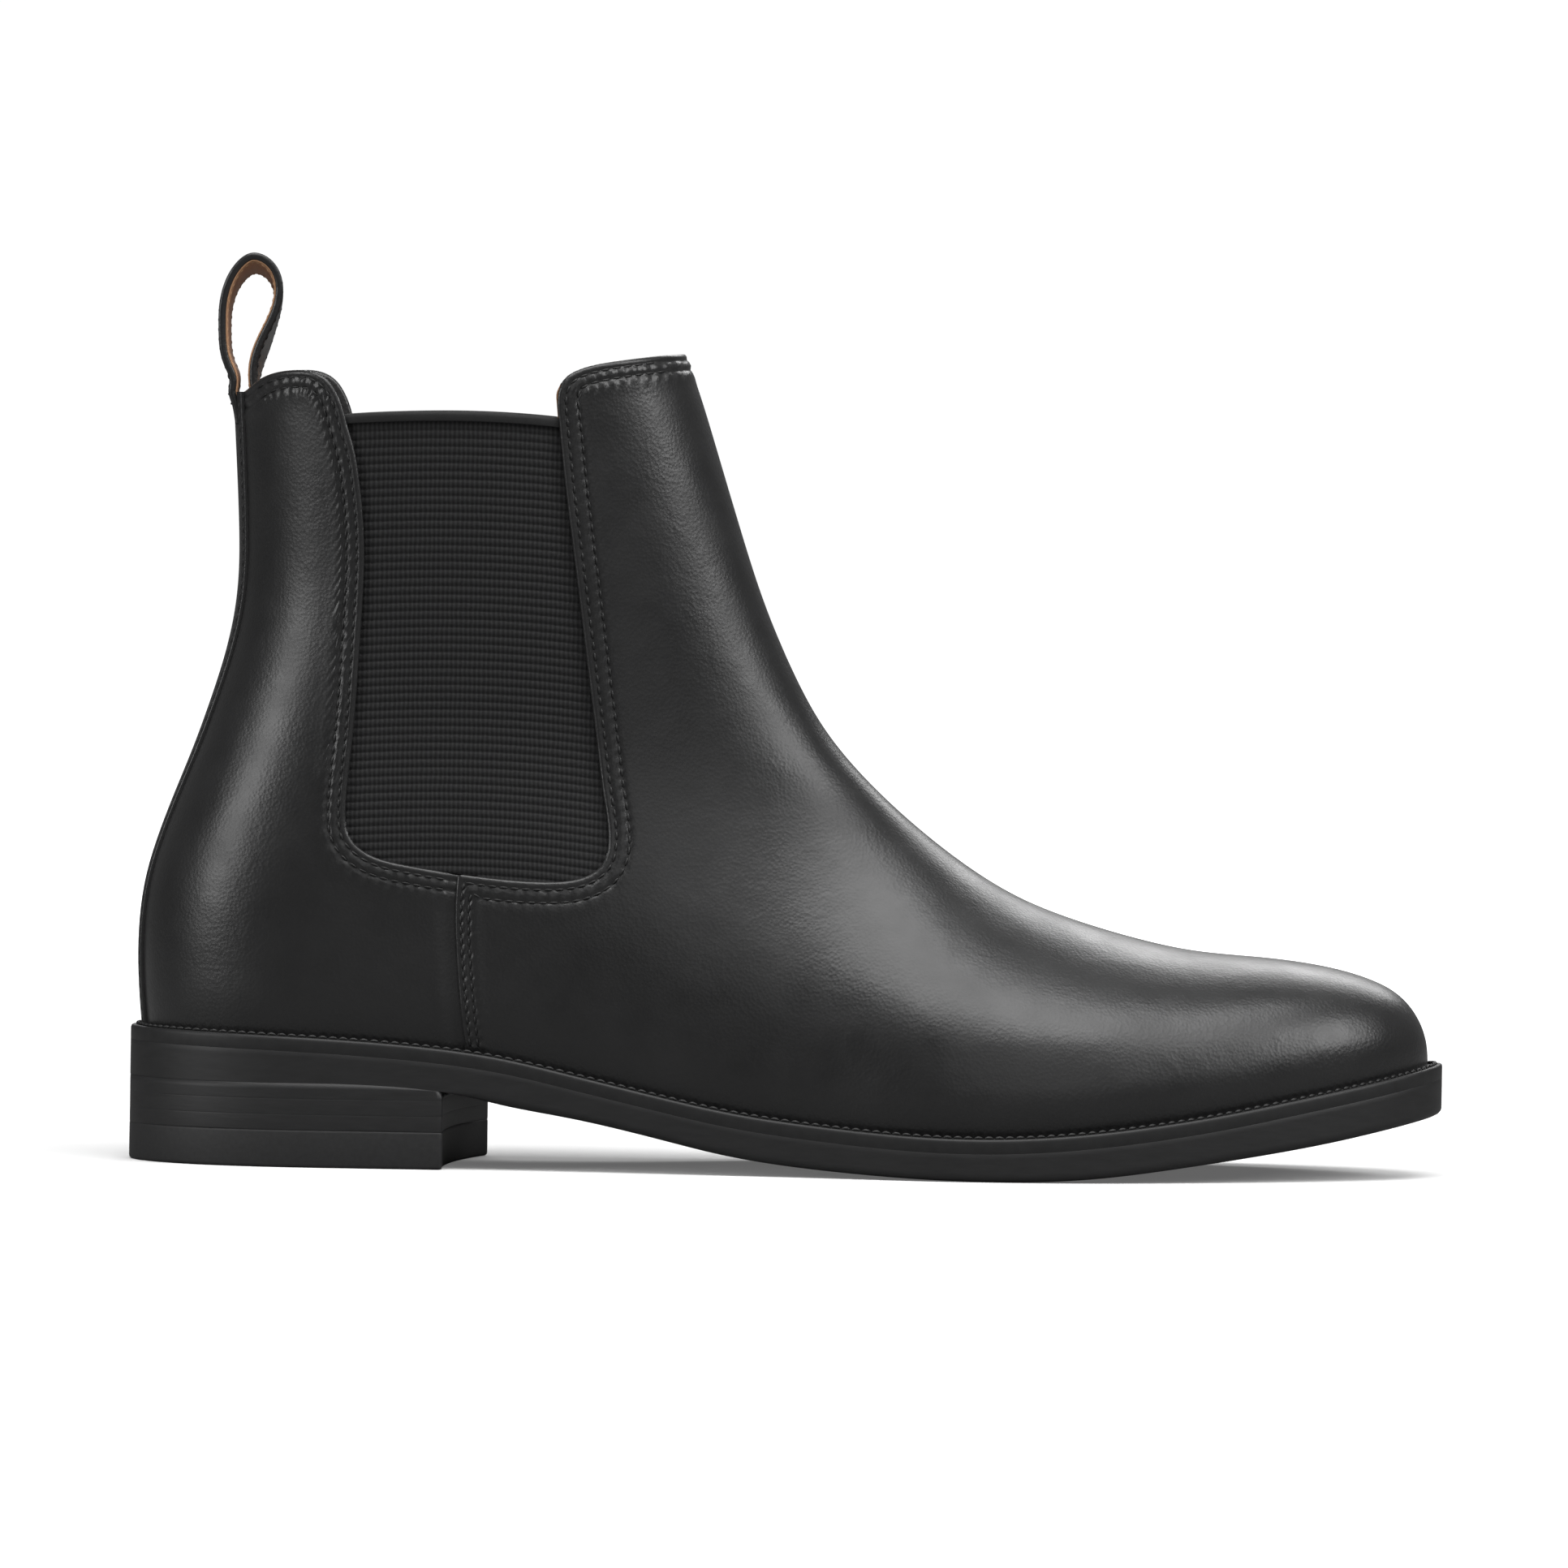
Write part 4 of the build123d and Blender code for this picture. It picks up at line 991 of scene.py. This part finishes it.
def heel_block(name, shape, material, nodes, pinned=False):
    """A heel layer from (reach, height) rings; a height of None follows the outsole."""
    rings = []
    for reach, z in shape:
        ring = np.concatenate([heel_outline(HEEL_REACH + reach, -reach), np.zeros((HEEL_POINTS, 1))], axis=1)
        ring[:, 2] = tread_z(ring[:, 0]) + 0.05 if z is None else z
        rings.append(ring)
    parts = [ring_stack(rings)]
    if pinned:
        parts.append(pinned_floor(rings[-1]))
    piece(name, *joined(parts), material, nodes)


def heel():
    """Three leather lifts with fine joints between them, and the rubber top lift below."""
    joints = np.linspace(TOP_LIFT_HEIGHT, HEEL_TOP_HEIGHT, 4)
    shape = [(-0.6, None), (0.0, None), (0.02, 18.2)]
    for z in joints[::-1][1:-1]:
        shape += [(0.02, z + 0.3), (0.01, z + 0.06), (-0.005, z), (0.01, z - 0.06), (0.02, z - 0.3)]
    shape += [(0.02, TOP_LIFT_HEIGHT + 0.4), (-0.02, TOP_LIFT_HEIGHT + 0.08), (-0.08, TOP_LIFT_HEIGHT)]
    heel_block("heel stack", shape, HEEL, ["heel_lift_1", "heel_lift_2", "heel_lift_3"])
    shape = [(-0.08, TOP_LIFT_HEIGHT), (0.0, TOP_LIFT_HEIGHT - 0.1), (0.04, TOP_LIFT_HEIGHT - 0.5),
             (0.04, 0.8), (-0.05, 0.35), (-0.3, 0.08), (-0.7, 0.0)]
    heel_block("top lift", shape, RUBBER, ["top_lift"], pinned=True)


def welt_stitches():
    """One row of stout stitches all round the welt."""
    ring = EDGE + WELT_STITCH_REACH * EDGE_NORMAL
    path = even(np.concatenate([ring, ring[:1]]), step=WELT_STITCH_PITCH)
    z = feather_z(path[:, 0]) + 0.12
    p = np.stack([path[:, 0], path[:, 1], z], axis=1)
    n = np.tile([0.0, 0.0, 1.0], (len(p), 1))
    made = stitches(p, n, radius=0.42, share=0.80, slant=0.10, sink=-0.10)
    piece("welt stitches", *made, THREAD, ["welt_stitching"])


welt_piece()
outsole_piece()
heel()
welt_stitches()


# ---------------- pull tab
STRAP_HALF, STRAP_THICK = 7.9, 2.15
STRAP_LEATHER, STRAP_LINING, LINING_MARGIN = 1.80, 0.55, 0.3
# The strap's section: share of its half width, share of its thickness.
STRAP_SECTION = [(-1, 0.5), (-0.985, 0.2), (-0.95, 0.03), (-0.86, 0.08), (-0.8, 0.0), (0, -0.04), (0.8, 0.0),
                 (0.86, 0.08), (0.95, 0.03), (0.985, 0.2), (1, 0.5), (0.985, 0.85), (0.95, 1.0), (0, 1.0),
                 (-0.95, 1.0), (-0.985, 0.85)]
BAR_STITCHES, BAR_HALF = 7, 6.2


def strap_path():
    """Outer face of the strap: out of the back strip, round the loop and down inside the shaft."""
    sunk = ((0.6, 171.5), (0.85, 174.0), (1.3, 176.5), (1.9, 179.0))
    foot = [(float(back_x(z)) - out, z) for out, z in sunk]
    loop = [(19.6, 181.9), (18.5, 184.9), (17.35, 188.5), (16.9, 194), (17.0, 199.5), (18.0, 204.2),
            (20.4, 208.8), (24.6, 211.75), (29, 210.2), (31.75, 205.4), (31.7, 200.4), (29.9, 195.2),
            (27.7, 190.6), (26.4, 186.4), (26.2, 182.5)]
    end = [(26.6, 179.0), (26.9, 175.5), (27.0, 172.5)]
    return smooth_path([*foot, *loop, *end], step=0.5)


def strap_points(flat, y):
    """Places on the strap; its medial edge makes a slightly shorter loop, so the tan side shows."""
    x, z = flat[:, 0], flat[:, 1]
    share = (np.asarray(y) / STRAP_HALF + 1) / 2 * np.clip((z - 180.0) / 4.0, 0, 1)
    front_leg = np.exp(-((z - 189) / 6.5) ** 2) * smoothstep((x - 23) / 3)
    x = x - (x - 24.2) * 0.09 * share + 1.5 * share * front_leg
    return np.stack([x, np.zeros(len(z)) + y, z - np.maximum(z - 183.0, 0) * 0.115 * share], axis=1)


def side_tangents(path):
    """Unit tangents of a side-view path, and the directions into the loop."""
    tangent = np.gradient(path, axis=0)
    tangent /= np.linalg.norm(tangent, axis=1, keepdims=True)
    return tangent, np.stack([tangent[:, 1], -tangent[:, 0]], axis=1)


def strap_layer(name, near, far, half, material, nodes):
    """One leather of the strap, from near to far millimetres inside its outer face."""
    path = strap_path()
    _, inward = side_tangents(path)
    thick = far - near
    rows = [strap_points(path + inward * (near + depth * thick), y * half) for y, depth in STRAP_SECTION]
    hinge(piece(name, np.concatenate(rows), tube_faces(len(rows), len(path)), material, nodes, rides=False))


def strap():
    """The pull tab: black leather outside, tan inside, a row of stitches along each edge and two bars."""
    strap_layer("pull tab leather", 0.0, STRAP_LEATHER, STRAP_HALF, CALF, ["pull_tab", "pull_tab_anchor"])
    strap_layer("pull tab lining leather", STRAP_THICK - STRAP_LINING, STRAP_THICK,
                STRAP_HALF - LINING_MARGIN, TAN, ["pull_tab_lining"])
    row = even(strap_path()[16:-10], step=2.3)
    t, inward = side_tangents(row)
    normal = np.stack([-t[:, 1], 0 * t[:, 0], t[:, 0]], axis=1)
    faces = (("outer", 0.21, normal, THREAD), ("inner", STRAP_THICK - 0.17, -normal, TAN_THREAD))
    for k, y in enumerate((-STRAP_HALF * 0.84, STRAP_HALF * 0.84)):
        for title, depth, out, thread in faces:
            made = stitches(strap_points(row + inward * depth, y), out, 0.22, 0.7, sink=0.0)
            hinge(piece(f"pull tab {title} stitches {k}", *made, thread, rides=False))
    for k, (z, out) in enumerate(((176.4, 1.2), (178.6, 1.7))):
        ys = np.linspace(-BAR_HALF, BAR_HALF, BAR_STITCHES)
        p = np.stack([np.full(BAR_STITCHES, float(back_x(z)) - out), ys, np.full(BAR_STITCHES, z)], axis=1)
        n = np.tile([-1.0, 0.0, 0.0], (BAR_STITCHES, 1))
        piece(f"tab bar stitches {k}", *stitches(p, n, 0.28, 0.8, sink=0.0), THREAD)


def hinge(obj):
    """Bakes the strap piece's placement into its mesh."""
    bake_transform(obj)


strap()


# ---------------- camera, light and floor
FLOOR_HALF = 6.0
FLOOR_UNLIT, FLOOR_SEEN = 0.22, 0.92
FADE = {"From Min": 0.5, "From Max": 1.6, "To Min": 0.12, "To Max": 1.1}
WORLD_LIGHT = {"To Min": 0.09, "To Max": 1.02}
# Name, place and aim in metres, width, height, watts.
SOFTBOXES = [("top softbox", (0.1, -0.45, 1.5), (0, 0, 0.08), 1.6, 1.1, 26),
             ("front softbox", (0.5, -1.9, 1.0), (0.02, 0, 0.1), 1.4, 1.6, 4),
             ("left softbox", (-1.5, -0.75, 0.6), (0, 0, 0.1), 0.6, 0.9, 9),
             ("right softbox", (1.4, -0.5, 0.95), (0, 0, 0.1), 0.6, 0.9, 11),
             ("rim softbox", (0.25, 1.7, 1.15), (0.05, 0, 0.08), 1.8, 0.6, 16)]


def map_range(tree, values, value):
    """A map range node with its ends set, fed by a socket."""
    n = node(tree, "MapRange")
    for key, end in values.items():
        n.inputs[key].default_value = end
    tree.links.new(value, n.inputs["Value"])
    return n.outputs["Result"]


def floor_material():
    """White to the camera and glowing into the white distance, but darker to the light it throws back."""
    white, tree, shader = new_material("floor white")
    set_sockets(shader, Roughness=0.9, Specular_IOR_Level=0.1, Emission_Color=(1, 1, 1, 1))
    ray = node(tree, "LightPath").outputs["Is Camera Ray"]
    shade = ramp(tree, ray, (0.0, grey(FLOOR_UNLIT, 1)), (1.0, grey(FLOOR_SEEN, 1)))
    tree.links.new(shade, shader.inputs["Base Color"])
    far = node(tree, "VectorMath", operation="LENGTH")
    tree.links.new(object_coords(tree), far.inputs[0])
    seen = node(tree, "Math", operation="MULTIPLY")
    tree.links.new(ray, seen.inputs[0])
    tree.links.new(map_range(tree, FADE, far.outputs["Value"]), seen.inputs[1])
    tree.links.new(seen.outputs[0], shader.inputs["Emission Strength"])
    return white


def stage_scene():
    """The floor, the white surroundings and the softboxes."""
    mesh = bpy.data.meshes.new("floor")
    corners = [(x * FLOOR_HALF, y * FLOOR_HALF, 0) for x, y in ((-1, -1), (1, -1), (1, 1), (-1, 1))]
    mesh.from_pydata(corners, [], [(0, 1, 2, 3)])
    mesh.materials.append(floor_material())
    ground = bpy.data.objects.new("floor", mesh)
    bpy.context.collection.objects.link(ground)

    world = bpy.data.worlds.new("studio")
    bpy.context.scene.world = world
    world.use_nodes = True
    tree = world.node_tree
    background = tree.nodes["Background"].inputs
    background["Color"].default_value = (1, 1, 1, 1)
    ray = node(tree, "LightPath").outputs["Is Camera Ray"]
    tree.links.new(map_range(tree, WORLD_LIGHT, ray), background["Strength"])

    for name, at, towards, width, height, watts in SOFTBOXES:
        light = bpy.data.lights.new(name, "AREA")
        light.shape, light.size, light.size_y, light.energy = "RECTANGLE", width, height, watts
        obj = bpy.data.objects.new(name, light)
        obj.location = at
        obj.rotation_euler = (Vector(towards) - Vector(at)).to_track_quat("-Z", "Y").to_euler()
        bpy.context.collection.objects.link(obj)


CAMERA_EYE, CAMERA_TARGET, CAMERA_ROLL = (150.3, -3500, 190), (150.3, -35, 90.6), 0.9
SENSOR_WIDTH, VIEW_WIDTH = 36, 0.3625


def photo_camera():
    """A long lens 3.5 m away, a little above the topline, rolled by under a degree."""
    data = bpy.data.cameras.new("photo camera")
    camera = bpy.data.objects.new("photo camera", data)
    bpy.context.collection.objects.link(camera)
    eye, target = Vector(place(CAMERA_EYE)), Vector(place(CAMERA_TARGET))
    data.sensor_width = SENSOR_WIDTH
    data.lens = SENSOR_WIDTH * (eye - target).length / VIEW_WIDTH
    data.clip_end = 50
    aim = (target - eye).to_track_quat("-Z", "Y").to_matrix().to_4x4()
    roll = Matrix.Rotation(math.radians(CAMERA_ROLL), 4, "Z")
    camera.matrix_world = Matrix.Translation(eye) @ aim @ roll
    bpy.context.scene.camera = camera
    bpy.context.scene.view_settings.view_transform = "Standard"


stage_scene()
photo_camera()
